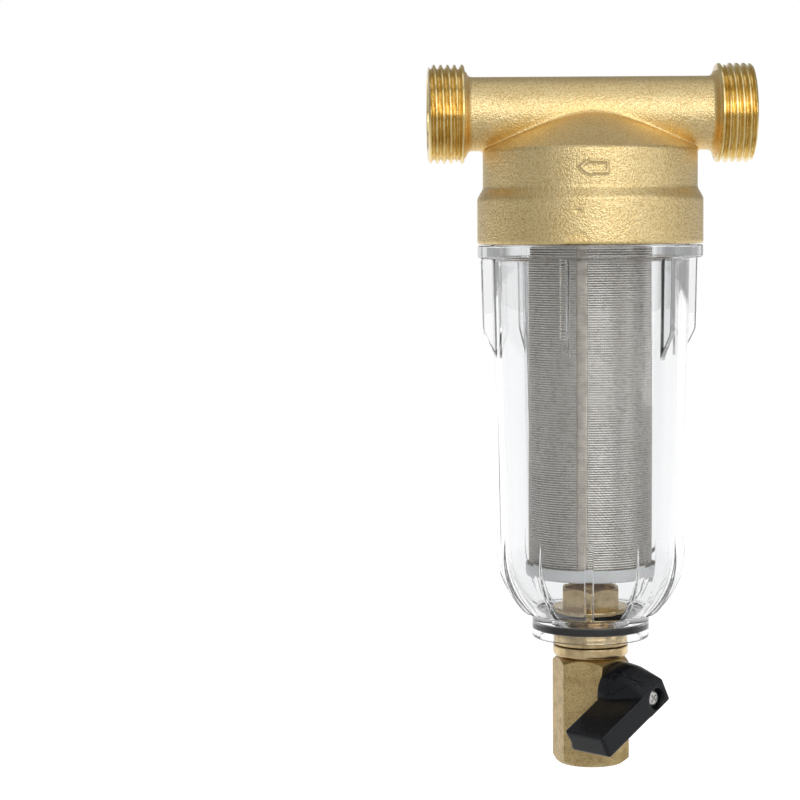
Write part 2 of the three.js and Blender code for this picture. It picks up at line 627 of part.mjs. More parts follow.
function handleScrew() {
  const head = turned([
    [0, SCREW_SEAT], [SCREW_HEAD.r, SCREW_SEAT], [SCREW_HEAD.r, SCREW_SEAT + SCREW_HEAD.side],
    [SCREW_HEAD.crownR, SCREW_SEAT + SCREW_HEAD.top - 0.3], [0, SCREW_SEAT + SCREW_HEAD.top],
  ], 24);
  const shank = disc(1.5, STEM_END - 7.5, SCREW_SEAT + 0.5, 16);
  const crossSlots = [0, 90].map((angle) => box(
    [-1.7, -0.32, SCREW_SEAT + 1], [1.7, 0.32, SCREW_SEAT + 3],
  ).rotate([0, 0, angle + 20]));
  return aboutStem(cut(join(head, shank), ...crossSlots));
}

// ---------- assembly ----------

const MATERIALS = {
  castBrass: { color: 0xd9b660, roughness: 0.45, metalness: 1 },
  turnedBrass: { color: 0xc9a35a, roughness: 0.28, metalness: 1 },
  clearPlastic: { color: 0xf4f8fa, roughness: 0.05, metalness: 0, transparent: true, opacity: 0.3 },
  stainless: { color: 0xb9b6ae, roughness: 0.4, metalness: 1 },
  chrome: { color: 0xd8dadd, roughness: 0.12, metalness: 1 },
  whitePlastic: { color: 0xeef1f3, roughness: 0.4, metalness: 0 },
  blackRubber: { color: 0x16171a, roughness: 0.6, metalness: 0 },
  sealPlastic: { color: 0xf2f0ea, roughness: 0.45, metalness: 0 },
  blackPlastic: { color: 0x1b1d20, roughness: 0.35, metalness: 0 },
};

const PIECES = [
  ['head_casting', headCasting, 'castBrass'],
  ['bowl_gasket', bowlGasket, 'blackRubber'],
  ['screen_top_collar', screenTopCollar, 'whitePlastic'],
  ['screen_top_oring', screenTopOring, 'blackRubber'],
  ['screen_mesh', screenMesh, 'stainless'],
  ['screen_support', screenSupport, 'stainless'],
  ['screen_bottom_cap', screenBottomCap, 'whitePlastic'],
  ['clear_bowl', clearBowl, 'clearPlastic'],
  ['drain_locknut', drainLocknut, 'turnedBrass'],
  ['locknut_washer', locknutWasher, 'blackRubber'],
  ['neck_gasket', neckGasket, 'blackRubber'],
  ['drain_spigot', drainSpigot, 'turnedBrass'],
  ['valve_lock_ring', lockRing, 'turnedBrass'],
  ['valve_body', valveBody, 'turnedBrass'],
  ['valve_seat_upper', () => seat(1), 'sealPlastic'],
  ['valve_seat_lower', () => seat(-1), 'sealPlastic'],
  ['ball_retainer', ballRetainer, 'turnedBrass'],
  ['stem_thrust_washer', stemThrustWasher, 'sealPlastic'],
  ['stem_oring', stemOring, 'blackRubber'],
  ['valve_ball', valveBall, 'chrome'],
  ['valve_stem', valveStem, 'turnedBrass'],
  ['handle_lever', handleLever, 'blackPlastic'],
  ['handle_screw', handleScrew, 'stainless'],
  ['handle_screw_washer', screwWasher, 'stainless'],
];

const filter = new THREE.Group();
for (const [name, build, material] of PIECES) {
  const mesh = new THREE.Mesh(geometryOf(build()), new THREE.MeshStandardMaterial(MATERIALS[material]));
  mesh.name = name;
  filter.add(mesh);
}

export default filter;
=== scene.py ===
"""Looks for a brass water pre-filter: cast head, clear screw-on bowl, woven screen and drain valve.

Shapes are worked out in millimetres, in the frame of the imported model, and become metres in new_mesh().
Azimuths are in degrees about +Z: 0 faces -Y, the front, and 90 faces +X.
"""

import math

import bmesh
import bpy
import numpy as np
import openvdb
from mathutils import Matrix, Vector
from mathutils.bvhtree import BVHTree


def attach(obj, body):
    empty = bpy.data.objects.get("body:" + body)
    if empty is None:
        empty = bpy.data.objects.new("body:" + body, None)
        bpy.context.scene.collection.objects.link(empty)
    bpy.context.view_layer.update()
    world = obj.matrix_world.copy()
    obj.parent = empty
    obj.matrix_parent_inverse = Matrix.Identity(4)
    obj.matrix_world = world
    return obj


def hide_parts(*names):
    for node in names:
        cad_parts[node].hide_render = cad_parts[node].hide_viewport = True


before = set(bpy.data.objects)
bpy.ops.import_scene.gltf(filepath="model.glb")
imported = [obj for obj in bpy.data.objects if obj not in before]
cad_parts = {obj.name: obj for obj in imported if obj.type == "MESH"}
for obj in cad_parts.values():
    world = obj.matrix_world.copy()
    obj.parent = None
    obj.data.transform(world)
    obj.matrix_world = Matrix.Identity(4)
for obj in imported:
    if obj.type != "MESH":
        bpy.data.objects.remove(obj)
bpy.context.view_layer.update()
MM = 0.001

# ---------- driving dimensions ----------

# Pipe run and ports, along X.
PORT_END = 54.6
PIPE_R = 12.4
PIPE_BORE_R = 9.6
MOUTH_R = 12.2
MOUTH_DEPTH = 10.0
PORT_ROOT_R = 15.1
PORT_CREST_R = 16.62
PORT_PITCH = 2.309
PORT_THREAD_LENGTH = 11.9

# Bell of the head. Marks on its front lie ahead of FRONT_Y.
BELL_UPPER_R = 36.1
BELL_LOWER_R = 38.0
RIM_Z = -11.9
STEP_TOP = -25.0
STEP_BOTTOM = -28.4
BELL_BOTTOM = -43.7
ROOF_SLOPE = math.tan(math.radians(27))
FRONT_Y = -20.0
BELL_WALL = 4.2
COUNTERBORE_R = 36.7
CHAMBER_R = 13.4
CHAMBER_WALL = 3.4
CHAMBER_BOTTOM = -30.0
CHAMBER_TOP = -5.0

# Bowl, from its neck thread down to its skirt.
NECK_ROOT_R = 33.2
NECK_CREST_R = 34.6
NECK_PITCH = 4.0
NECK_CLEARANCE = 0.45
NECK_TOP = -31.0
FLANGE_TOP = -44.0
FLANGE_BOTTOM = -48.4
FLANGE_R = 38.0
NECK_THREAD_START = FLANGE_TOP + 2.4
WALL_TOP_R = 33.4
WALL = 2.7
DOME_R = 30.0
DOME_CENTRE_R = 1.8
DOME_CENTRE_Z = -146.3
FLOOR_TOP = -169.9
FLOOR_BOTTOM = -172.0
SKIRT_R = 19.9
SKIRT_INNER_R = 17.2
SKIRT_TOP = -169.6
SKIRT_BOTTOM = -177.4
LUG_AZIMUTHS = [-19 + 60 * i for i in range(6)]
LUG_R = 37.8
LUG_LOWER = -73.0
LUG_END = -81.1
FIN_AZIMUTHS = [-6.3 + 360 / 11 * i for i in range(11)]
FIN_TOP = -142.5
FIN_KNEE = -156.2
FIN_PROUD = 1.2
COLUMNS_MEET_LOW = -135.0
COLUMNS_MEET_HIGH = -90.0

# Screen.
SCREEN_R = 20.9
SCREEN_TOP = -37.2
SCREEN_BOTTOM = -154.2
SEAM_AZIMUTH = -12.7
SEAM_WIDTH = 3.7
WEAVE_PITCH = 0.8
WEAVE_R = SCREEN_R - 0.45
WEFT_WAVE = 0.22
WARP_COUNT = 184
WARP_R = 0.14
COLLAR_SHELF = SCREEN_TOP + 0.25
COLLAR_TOP = COLLAR_SHELF + 2.4
PLUG_R = CHAMBER_R - 0.35
CAP_R = 22.1
CAP_TOP = -151.9
CAP_BOTTOM = -156.0

# Drain fitting and valve.
SPIGOT_R = 8.3
SPIGOT_BORE_R = 5.5
NUT_FLATS = 18.8
NUT_FACE = 25
NUT_TOP = -160.4
NUT_FLANGE_R = 12.9
WASHER_TOP = FLOOR_TOP + 0.95
NUT_BOTTOM = WASHER_TOP + 0.25
GASKET_TOP = FLOOR_BOTTOM - 0.25
GASKET_BOTTOM = GASKET_TOP - 2.6
COLLAR_Z = GASKET_BOTTOM - 0.25
DRAIN_COLLAR_R = 12.5
RING_R = 12.8
RING_TOP = -180.1
RING_BOTTOM = -183.8
VALVE_TOP = -184.0
VALVE_BOTTOM = -220.6
VALVE_FLATS = 23.2
VALVE_Z = -195.0
STEM_AZIMUTH = 41.5
STEM_R = 3.4
SPIGOT_BOTTOM = VALVE_TOP - 2.7
BALL_R = 6.6
BALL_BORE_R = 4.2
BALL_SPACE_R = 7.6

# Lever, in its own axes from the valve's centre: x across, y along the lever, z out along the stem.
LEVER_DROP = 28.0
LEVER_NEAR = 12.3
LEVER_FAR = 30.3
LEVER_LOW = -3.7
LEVER_HIGH = 4.4
LEVER_TIP = 28.3
LEVER_BACK = 5.2
LEVER_VOXEL = 0.26
HUB_R = 10.4
HUB_END = 16.5
HUB_TRIANGLE = [(9.9, 2.5, 16.7), (5.4, 8.6, 17.2), (6.1, 0.8, 27.0)]
LINE_R = 0.42
SCREW_SEAT = 26.8
SCREW_HEAD_R = 2.95
RECESS_R = 3.5

# Camera and lights, in metres, degrees and watts.
CAMERA_PLACE = (-0.078, -0.820, -0.035)
CAMERA_YAW = 0.94
CAMERA_DOWN = 4.26
CAMERA_ROLL = -0.41
CAMERA_LENS = 109.2
FLOOR_Z = -0.30
SOFTBOXES = [  # name, place, target, width, height, power
    ("low_softbox", (0.35, -1.80, 0.32), (0, 0, 0), 1.9, 0.8, 9.0),
    ("high_softbox", (0.35, -1.50, 1.15), (0, 0, 0), 1.9, 1.4, 6.8),
    ("top_softbox", (0, -0.1, 1.7), (0, 0, 0), 1.6, 1.2, 3.4),
    ("right_softbox", (1.7, -0.7, 0.35), (0, 0, -0.08), 0.5, 1.4, 3.5),
]

# ---------- mesh helpers ----------


def linked(name, data):
    """A new object that holds the data, in the scene."""
    obj = bpy.data.objects.new(name, data)
    bpy.context.scene.collection.objects.link(obj)
    return obj


def new_mesh(name, points, faces, sharp=35.0):
    """A mesh object from points in millimetres, smooth but for edges sharper than `sharp` degrees."""
    mesh = bpy.data.meshes.new(name)
    points = np.asarray(points, float) * MM
    mesh.from_pydata(points.tolist(), [], [list(face) for face in faces])
    return shade(linked(name, mesh), sharp)


def from_bmesh(name, work):
    """An object from a bmesh, which is used up."""
    mesh = bpy.data.meshes.new(name)
    work.to_mesh(mesh)
    work.free()
    return linked(name, mesh)


def shade(obj, sharp=35.0):
    mesh = obj.data
    mesh.polygons.foreach_set("use_smooth", np.ones(len(mesh.polygons), bool))
    mesh.set_sharp_from_angle(angle=math.radians(sharp))
    mesh.update()
    return obj


def clean(obj, distance=0.002):
    """Merges vertices that coincide and turns every face outwards."""
    work = bmesh.new()
    work.from_mesh(obj.data)
    bmesh.ops.remove_doubles(work, verts=work.verts, dist=distance * MM)
    bmesh.ops.dissolve_degenerate(work, edges=work.edges, dist=1e-7)
    bmesh.ops.recalc_face_normals(work, faces=work.faces)
    work.to_mesh(obj.data)
    work.free()
    return obj


def bake_modifiers(obj):
    """Replaces the object's mesh by what its modifiers make of it."""
    depsgraph = bpy.context.evaluated_depsgraph_get()
    baked = bpy.data.meshes.new_from_object(obj.evaluated_get(depsgraph))
    obj.modifiers.clear()
    old = obj.data
    obj.data = baked
    bpy.data.meshes.remove(old)
    return obj


def weighted(obj):
    """Normals that follow the large faces, so that flats stay flat beside their rounded edges."""
    modifier = obj.modifiers.new("normals", "WEIGHTED_NORMAL")
    modifier.keep_sharp = True
    return bake_modifiers(obj)


def boolean(obj, tools, operation="DIFFERENCE"):
    """Cuts (or joins, or crosses) obj with the tools, which are used up."""
    for tool in tools:
        modifier = obj.modifiers.new("boolean", "BOOLEAN")
        modifier.operation = operation
        modifier.solver = "MANIFOLD"
        modifier.object = tool
    bake_modifiers(obj)
    for tool in tools:
        bpy.data.objects.remove(tool)
    return obj


def joined(name, objects):
    """One object from several, each keeping its own closed surface."""
    work = bmesh.new()
    for part in objects:
        work.from_mesh(part.data)
    obj = from_bmesh(name, work)
    for part in objects:
        bpy.data.objects.remove(part)
    return obj


def grid_faces(rows, columns, close_rows=True, close_columns=True):
    """Quads over a grid of points stored row by row."""
    last_row = rows if close_rows else rows - 1
    last_column = columns if close_columns else columns - 1
    i, j = np.meshgrid(np.arange(last_row), np.arange(last_column), indexing="ij")
    up = (i + 1) % rows
    right = (j + 1) % columns
    corners = [i * columns + j, up * columns + j, up * columns + right, i * columns + right]
    return np.stack(corners, -1).reshape(-1, 4).tolist()


def rounded(profile, steps=4):
    """A closed outline of (a, b) or (a, b, radius) points, with an arc at each point that has a radius."""
    out = []
    count = len(profile)
    for i, point in enumerate(profile):
        here = np.array(point[:2], float)
        radius = point[2] if len(point) > 2 else 0.0
        if radius <= 0:
            out.append(here)
            continue
        before = np.array(profile[i - 1][:2], float) - here
        after = np.array(profile[(i + 1) % count][:2], float) - here
        before_length = np.linalg.norm(before)
        after_length = np.linalg.norm(after)
        before /= before_length
        after /= after_length
        half = math.acos(np.clip(before @ after, -1, 1)) / 2
        reach = min(radius / math.tan(half), 0.49 * before_length, 0.49 * after_length)
        start, end = here + before * reach, here + after * reach
        for k in range(steps + 1):
            t = k / steps
            out.append((1 - t) ** 2 * start + 2 * t * (1 - t) * here + t ** 2 * end)
    return out


def swept(name, grid, sharp=35.0, axes=((1, 0, 0), (0, 1, 0), (0, 0, 1))):
    """Rows of (radius, height) points, each row spread evenly round the last of the three axes."""
    angles = np.arange(grid.shape[1]) * 2 * math.pi / grid.shape[1]
    radius, height = grid[..., 0], grid[..., 1]
    points = np.stack([radius * np.cos(angles), radius * np.sin(angles), height], -1)
    obj = new_mesh(name, points.reshape(-1, 3), grid_faces(*grid.shape[:2]))
    return shade(clean(placed(obj, *axes)), sharp)


def turned(name, profile, segments=120, steps=4, sharp=35.0):
    """A closed (radius, z) outline turned about Z. Points on the axis become one vertex."""
    outline = np.array(rounded(profile, steps))
    return swept(name, np.repeat(outline[:, None], segments, 1), sharp)


def ring(name, inner, outer, low, high, edge=0.2, segments=120):
    """A flat ring with softened edges."""
    return turned(name, [
        (inner, low, edge), (outer, low, edge), (outer, high, edge), (inner, high, edge),
    ], segments, steps=2)


def torus(name, middle, section, z, segments=96, sides=14):
    angles = np.arange(sides) * 2 * math.pi / sides
    outline = [(middle + section * math.cos(a), z + section * math.sin(a)) for a in angles]
    return turned(name, outline, segments)


def disc(name, radius, low, high, segments=64, edge=0.0):
    return turned(name, [(0, low), (radius, low, edge), (radius, high, edge), (0, high)], segments)


def prism(name, outline, low, high):
    """An outline of (x, y) points raised from low to high."""
    count = len(outline)
    points = [(x, y, low) for x, y in outline] + [(x, y, high) for x, y in outline]
    faces = [list(range(count))[::-1], list(range(count, 2 * count))]
    faces += [[i, (i + 1) % count, count + (i + 1) % count, count + i] for i in range(count)]
    return clean(new_mesh(name, points, faces))


def rectangle(half_x, half_y):
    return [(-half_x, -half_y), (half_x, -half_y), (half_x, half_y), (-half_x, half_y)]


def hull(name, points):
    """The convex solid round some points, in millimetres."""
    work = bmesh.new()
    for point in points:
        work.verts.new(Vector(point) * MM)
    result = bmesh.ops.convex_hull(work, input=work.verts)
    spare = result["geom_interior"] + result["geom_unused"]
    unused = {vertex for vertex in spare if isinstance(vertex, bmesh.types.BMVert)}
    bmesh.ops.delete(work, geom=list(unused), context="VERTS")
    bmesh.ops.recalc_face_normals(work, faces=work.faces)
    return from_bmesh(name, work)


def facing(azimuth):
    """The level direction of an azimuth in degrees."""
    angle = math.radians(azimuth)
    return Vector((math.sin(angle), -math.cos(angle), 0))


def hexagon(flats, azimuth, corner=0.5):
    """Corners of a hexagon with a flat facing azimuth, each corner rounded."""
    corners = [facing(azimuth + 30 + 60 * i) * flats / math.sqrt(3) for i in range(6)]
    return [tuple(p) for p in rounded([(c.x, c.y, corner) for c in corners], 4)]


def placed(obj, x_axis, y_axis, z_axis, origin=(0, 0, 0)):
    """Turns a mesh made in its own axes to those given, in the object's frame, with origin in millimetres."""
    matrix = Matrix((x_axis, y_axis, z_axis)).transposed().to_4x4()
    matrix.translation = Vector(origin) * MM
    obj.data.transform(matrix)
    return obj


def finish_piece(obj, material, body, nodes):
    """Gives a piece its material, attaches it to the body it moves with and hides the CAD nodes it stands
    for.
    """
    obj.data.materials.clear()
    obj.data.materials.append(material)
    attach(obj, body)
    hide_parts(*nodes)
    return obj


# ---------- material helpers ----------


def new_material(name, metallic=0.0):
    material = bpy.data.materials.new(name)
    material.use_nodes = True
    shader = material.node_tree.nodes["Principled BSDF"]
    shader.inputs["Metallic"].default_value = metallic
    return material, material.node_tree, shader


def add_node(tree, kind, **values):
    """A node with its properties and input values set by name."""
    node = tree.nodes.new(kind)
    for key, value in values.items():
        if key in node.inputs:
            node.inputs[key].default_value = value
        else:
            setattr(node, key, value)
    return node


def link(tree, source, target):
    tree.links.new(source, target)


def object_coordinates(tree, scale=(1, 1, 1)):
    """The place on the object in metres, stretched by scale."""
    coordinates = add_node(tree, "ShaderNodeTexCoord")
    mapping = add_node(tree, "ShaderNodeMapping")
    mapping.inputs["Scale"].default_value = scale
    link(tree, coordinates.outputs["Object"], mapping.inputs["Vector"])
    return mapping.outputs["Vector"]


def noise(tree, vector, size, detail=2.0, roughness=0.5):
    """Noise whose blobs are about `size` millimetres across."""
    node = add_node(tree, "ShaderNodeTexNoise", Scale=1 / (size * MM), Detail=detail, Roughness=roughness)
    link(tree, vector, node.inputs["Vector"])
    return node.outputs["Fac"]


def ramp(tree, value, low, high, from_low=0.3, from_high=0.7):
    """Turns a value into a colour or a number between two ends."""
    if isinstance(low, (int, float)):
        node = add_node(tree, "ShaderNodeMapRange")
        names = ("From Min", "From Max", "To Min", "To Max")
        for key, number in zip(names, (from_low, from_high, low, high)):
            node.inputs[key].default_value = number
        link(tree, value, node.inputs["Value"])
        return node.outputs["Result"]
    node = add_node(tree, "ShaderNodeValToRGB")
    ends = node.color_ramp.elements
    for end, position, colour in ((ends[0], from_low, low), (ends[1], from_high, high)):
        end.position = position
        end.color = (*colour, 1)
    link(tree, value, node.inputs["Fac"])
    return node.outputs["Color"]


def mixed(tree, factor, first, second, blend="MIX"):
    """Mixes two colours, each a socket or three numbers, by a socket or a number."""
    node = add_node(tree, "ShaderNodeMix", data_type="RGBA", blend_type=blend)
    for index, value in ((0, factor), (6, first), (7, second)):
        if isinstance(value, bpy.types.NodeSocket):
            link(tree, value, node.inputs[index])
        else:
            node.inputs[index].default_value = value if index == 0 else (*value, 1)
    return node.outputs[2]


def bump(tree, shader, height, depth, strength=1.0, below=None):
    """Bump of `depth` millimetres for a height of 1, on top of another bump if one is given."""
    node = add_node(tree, "ShaderNodeBump", Strength=strength, Distance=depth * MM)
    link(tree, height, node.inputs["Height"])
    if below is not None:
        link(tree, below, node.inputs["Normal"])
    link(tree, node.outputs["Normal"], shader.inputs["Normal"])
    return node.outputs["Normal"]


def attribute(tree, name):
    return add_node(tree, "ShaderNodeAttribute", attribute_name=name).outputs["Fac"]


# ---------- materials ----------


def cast_brass():
    """Sandblasted casting: a fine darker grain, broader pits, patchy tone, painted warm bounce light of brass
    on brass in creases, and the gate spot's own tone.
    """
    material, tree, shader = new_material("cast_brass", metallic=1.0)
    place = object_coordinates(tree)
    grain = noise(tree, place, 0.62, 2, 0.6)
    pits = noise(tree, place, 1.5, 2, 0.6)
    patches = noise(tree, place, 9, 2)
    tone = ramp(tree, patches, (0.75, 0.59, 0.30), (0.80, 0.645, 0.35))
    grained = mixed(tree, ramp(tree, grain, 0.0, 1.0, 0.36, 0.56), (0.78, 0.70, 0.57), (1, 1, 1))
    colour = mixed(tree, 1.0, tone, grained, "MULTIPLY")
    # Painted reflection: warm orange bounce light painted into creases and on the port flares, plus the
    # ground gate spot's own darker orange.
    colour = mixed(tree, attribute(tree, "painted_bounce_and_gate_tone"), colour, (0.84, 0.60, 0.25))
    link(tree, colour, shader.inputs["Base Color"])
    link(tree, ramp(tree, grain, 0.42, 0.28), shader.inputs["Roughness"])
    under = bump(tree, shader, pits, 0.16, 0.5)
    bump(tree, shader, grain, 0.30, 0.8, under)
    return material


def turned_brass(name, colour, dark, roughness, axis):
    """Machined brass: fine rings round its axis, slight tarnish and a few dull spots."""
    material, tree, shader = new_material(name, metallic=1.0)
    stretch = tuple(1.0 if i == axis else 0.04 for i in range(3))
    rings = noise(tree, object_coordinates(tree, stretch), 0.22, 3, 0.6)
    tarnish = noise(tree, object_coordinates(tree), 5, 3, 0.6)
    link(tree, ramp(tree, tarnish, dark, colour, 0.34, 0.56), shader.inputs["Base Color"])
    link(tree, ramp(tree, tarnish, roughness * 1.5, roughness, 0.3, 0.6), shader.inputs["Roughness"])
    bump(tree, shader, rings, 0.02, 0.6)
    return material


def forged_brass():
    """Bead-blasted hexagon bar: fine even grain, brown smudges, duller than the casting."""
    material, tree, shader = new_material("forged_brass", metallic=1.0)
    place = object_coordinates(tree)
    grain = noise(tree, place, 0.42, 2, 0.6)
    smudge = noise(tree, place, 4.5, 3, 0.65)
    tone = ramp(tree, smudge, (0.40, 0.30, 0.14), (0.56, 0.43, 0.215), 0.30, 0.56)
    speckle = mixed(tree, ramp(tree, grain, 0.0, 1.0, 0.36, 0.52), (0.70, 0.62, 0.50), (1, 1, 1))
    link(tree, mixed(tree, 1.0, tone, speckle, "MULTIPLY"), shader.inputs["Base Color"])
    link(tree, ramp(tree, grain, 0.52, 0.34), shader.inputs["Roughness"])
    bump(tree, shader, grain, 0.10, 0.7)
    return material


def clear_plastic():
    """Moulded clear plastic with a faint waviness from the mould."""
    material, tree, shader = new_material("clear_plastic")
    shader.inputs["Base Color"].default_value = (0.905, 0.909, 0.913, 1)
    shader.inputs["Transmission Weight"].default_value = 1.0
    shader.inputs["IOR"].default_value = 1.5
    place = object_coordinates(tree)
    link(tree, ramp(tree, noise(tree, place, 9, 1), 0.0, 0.02, 0.45, 0.75), shader.inputs["Roughness"])
    bump(tree, shader, noise(tree, place, 30, 0), 0.04, 0.2)
    return material


def woven_steel():
    """Drawn stainless wire: bright, slightly warm, with a little tone from wire to wire."""
    material, tree, shader = new_material("woven_steel", metallic=1.0)
    rows = noise(tree, object_coordinates(tree, (0.5, 0.5, 1)), 0.9, 2)
    patches = noise(tree, object_coordinates(tree), 7, 2)
    tone = ramp(tree, rows, (0.82, 0.79, 0.74), (1.0, 0.975, 0.935), 0.36, 0.50)
    shade_of = mixed(tree, ramp(tree, patches, 0.0, 1.0), (0.95, 0.94, 0.92), (1, 1, 1))
    link(tree, mixed(tree, 1.0, tone, shade_of, "MULTIPLY"), shader.inputs["Base Color"])
    link(tree, ramp(tree, patches, 0.36, 0.28), shader.inputs["Roughness"])
    bump(tree, shader, noise(tree, object_coordinates(tree), 0.6, 1), 0.05, 0.6)
    return material


def polished_metal(name, colour, roughness):
    """Plated or rolled metal with hair-fine scratches."""
    material, tree, shader = new_material(name, metallic=1.0)
    place = object_coordinates(tree)
    stains = noise(tree, place, 2.5, 3, 0.6)
    darker = tuple(0.82 * value for value in colour)
    link(tree, ramp(tree, stains, darker, colour, 0.3, 0.6), shader.inputs["Base Color"])
    link(tree, ramp(tree, stains, roughness * 1.6, roughness), shader.inputs["Roughness"])
    bump(tree, shader, noise(tree, object_coordinates(tree, (1, 0.1, 1)), 0.15, 2), 0.01, 0.4)
    return material


def moulded(name, colour, roughness, grain=0.5, depth=0.01, subsurface=0.0, specular=0.5):
    """Opaque moulded plastic or rubber: a fine texture and slight changes of tone and gloss."""
    material, tree, shader = new_material(name)
    place = object_coordinates(tree)
    fine = noise(tree, place, grain, 3, 0.6)
    broad = noise(tree, place, 6, 2)
    darker = tuple(0.86 * value for value in colour)
    link(tree, ramp(tree, broad, darker, colour), shader.inputs["Base Color"])
    link(tree, ramp(tree, fine, roughness * 1.15, roughness * 0.9), shader.inputs["Roughness"])
    shader.inputs["Specular IOR Level"].default_value = specular
    if subsurface > 0:
        shader.inputs["Subsurface Weight"].default_value = subsurface
        shader.inputs["Subsurface Scale"].default_value = 2 * MM
    bump(tree, shader, fine, depth, 0.6)
    return material


CAST_BRASS = cast_brass()
PORT_BRASS = turned_brass("port_brass", (0.80, 0.64, 0.32), (0.68, 0.51, 0.20), 0.17, 0)
TURNED_BRASS = turned_brass("turned_brass", (0.68, 0.53, 0.30), (0.46, 0.34, 0.17), 0.20, 2)
FORGED_BRASS = forged_brass()
CLEAR_PLASTIC = clear_plastic()
WOVEN_STEEL = woven_steel()
SEAM_STEEL = polished_metal("seam_steel", (0.66, 0.61, 0.54), 0.42)
STAINLESS = polished_metal("stainless_steel", (0.72, 0.71, 0.69), 0.24)
CHROME = polished_metal("chrome", (0.80, 0.81, 0.82), 0.06)
WHITE_PLASTIC = moulded("white_plastic", (0.97, 0.975, 0.98), 0.38, subsurface=0.15)
BLACK_RUBBER = moulded("black_rubber", (0.007, 0.007, 0.008), 0.5, grain=0.3, depth=0.02, specular=0.25)
SEAL_PLASTIC = moulded("seal_plastic", (0.86, 0.85, 0.82), 0.4, subsurface=0.1)
BLACK_PLASTIC = moulded("black_plastic", (0.008, 0.009, 0.011), 0.24, grain=0.8, depth=0.004, specular=0.26)

# ---------- head casting ----------


def outline_distance(outline, a, b):
    """Signed distance from points (a, b) to a closed outline, negative inside."""
    best = np.full(np.broadcast(a, b).shape, np.inf)
    inside = np.zeros(best.shape, bool)
    for i, (a1, b1) in enumerate(outline):
        a0, b0 = outline[i - 1]
        da, db = a1 - a0, b1 - b0
        along = np.clip(((a - a0) * da + (b - b0) * db) / max(da * da + db * db, 1e-12), 0, 1)
        best = np.minimum(best, (a - a0 - along * da) ** 2 + (b - b0 - along * db) ** 2)
        crosses = (b0 > b) != (b1 > b)
        where = a0 + (b - b0) * da / (db if abs(db) > 1e-12 else 1e-12)
        inside ^= crosses & (a < where)
    return np.where(inside, -1, 1) * np.sqrt(best)


class Solid:
    """Distance fields over a block of space, for a casting with soft joints between its shapes."""

    def __init__(self, low, high, step):
        self.low, self.step = np.array(low, float), step
        self.axes = [np.arange(l, h + step, step) for l, h in zip(low, high)]
        self.x, self.y, self.z = np.meshgrid(*self.axes, indexing="ij", sparse=True)

    def turned(self, profile, axis=2, sign=1):
        """A closed (radius, height) outline turned about Z (axis 2) or X (axis 0)."""
        outline = [tuple(p) for p in rounded(profile)]
        first, second = (self.x, self.y) if axis == 2 else (self.y, self.z)
        radius = np.hypot(first, second).squeeze()
        table_r = np.arange(0, radius.max() + 1, self.step / 2)
        heights = sign * self.axes[axis]
        table = outline_distance(outline, table_r[:, None], heights[None, :]).astype(np.float32)
        place = radius / (self.step / 2)
        index = place.astype(int)
        part = (place - index)[..., None].astype(np.float32)
        field = table[index] * (1 - part) + table[index + 1] * part
        return field if axis == 2 else np.moveaxis(field, 2, 0)

    def mesh(self, name, field):
        grid = openvdb.FloatGrid(background=5.0)
        grid.copyFromArray(np.ascontiguousarray(field, np.float32))
        points, triangles, quads = grid.convertToPolygons(isovalue=0.0, adaptivity=0.0)
        faces = quads.tolist() + triangles.tolist()
        return new_mesh(name, points * self.step + self.low, faces, sharp=180)

    def sample(self, field, points):
        """The field's value at points in millimetres."""
        place = (np.asarray(points) - self.low) / self.step
        index = np.clip(np.rint(place).astype(int), 0, np.array(field.shape) - 1)
        return field[index[:, 0], index[:, 1], index[:, 2]]


def smooth_union(first, second, radius):
    """Two solids joined with a fillet."""
    share = np.clip(0.5 + 0.5 * (second - first) / radius, 0, 1)
    return second * (1 - share) + first * share - radius * share * (1 - share)


def roof_z(radius):
    return RIM_Z + (BELL_UPPER_R - radius) * ROOF_SLOPE


def thread_height(phase, base, top):
    """Share of a thread's depth at a phase in turns, for a ridge `base` wide at root and `top` at crest."""
    away = np.abs(phase - np.rint(phase))
    return np.clip((base / 2 - away) / max((base - top) / 2, 1e-6), 0, 1)


def neck_thread(azimuth, z, clearance=0.0):
    """How far the bowl's thread stands out of the neck, from 0 to its full depth."""
    root_width, crest_width = 2.4 + 2 * clearance, 1.1 + 2 * clearance
    turns = (np.radians(azimuth) - math.pi / 2) / (2 * math.pi)
    phase = (z - NECK_THREAD_START) / NECK_PITCH - turns
    share = thread_height(phase, root_width / NECK_PITCH, crest_width / NECK_PITCH)
    return (NECK_CREST_R - NECK_ROOT_R) * share


def head_outside(block):
    bell = block.turned([
        (0, BELL_BOTTOM), (BELL_LOWER_R, BELL_BOTTOM, 0.7), (BELL_LOWER_R, STEP_BOTTOM, 1.6),
        (BELL_UPPER_R, STEP_TOP, 1.2), (BELL_UPPER_R, RIM_Z, 1.5), (0, roof_z(0)),
    ])
    end = PORT_END - PORT_THREAD_LENGTH
    flare = [(16.2, end, 0.4), (PIPE_R, end - 1.9, 1.6)]
    mirrored = [(radius, -x, *rest) for radius, x, *rest in flare]
    pipe = block.turned([(0, -end), *mirrored, *flare[::-1], (0, end)], axis=0)
    # Painted reflection mask: warm bounce light painted where the bell meets the pipe, and on the flare
    # before each port.
    painted_bounce_and_gate_tone = np.exp(-(np.abs(bell) + np.abs(pipe)) / 2.6)
    shoulder = np.clip((np.abs(block.x) - end + 2.3) / 1.0, 0, 0.8)
    return smooth_union(bell, pipe, 1.1), np.maximum(painted_bounce_and_gate_tone, shoulder * (np.abs(block.x) > 38))


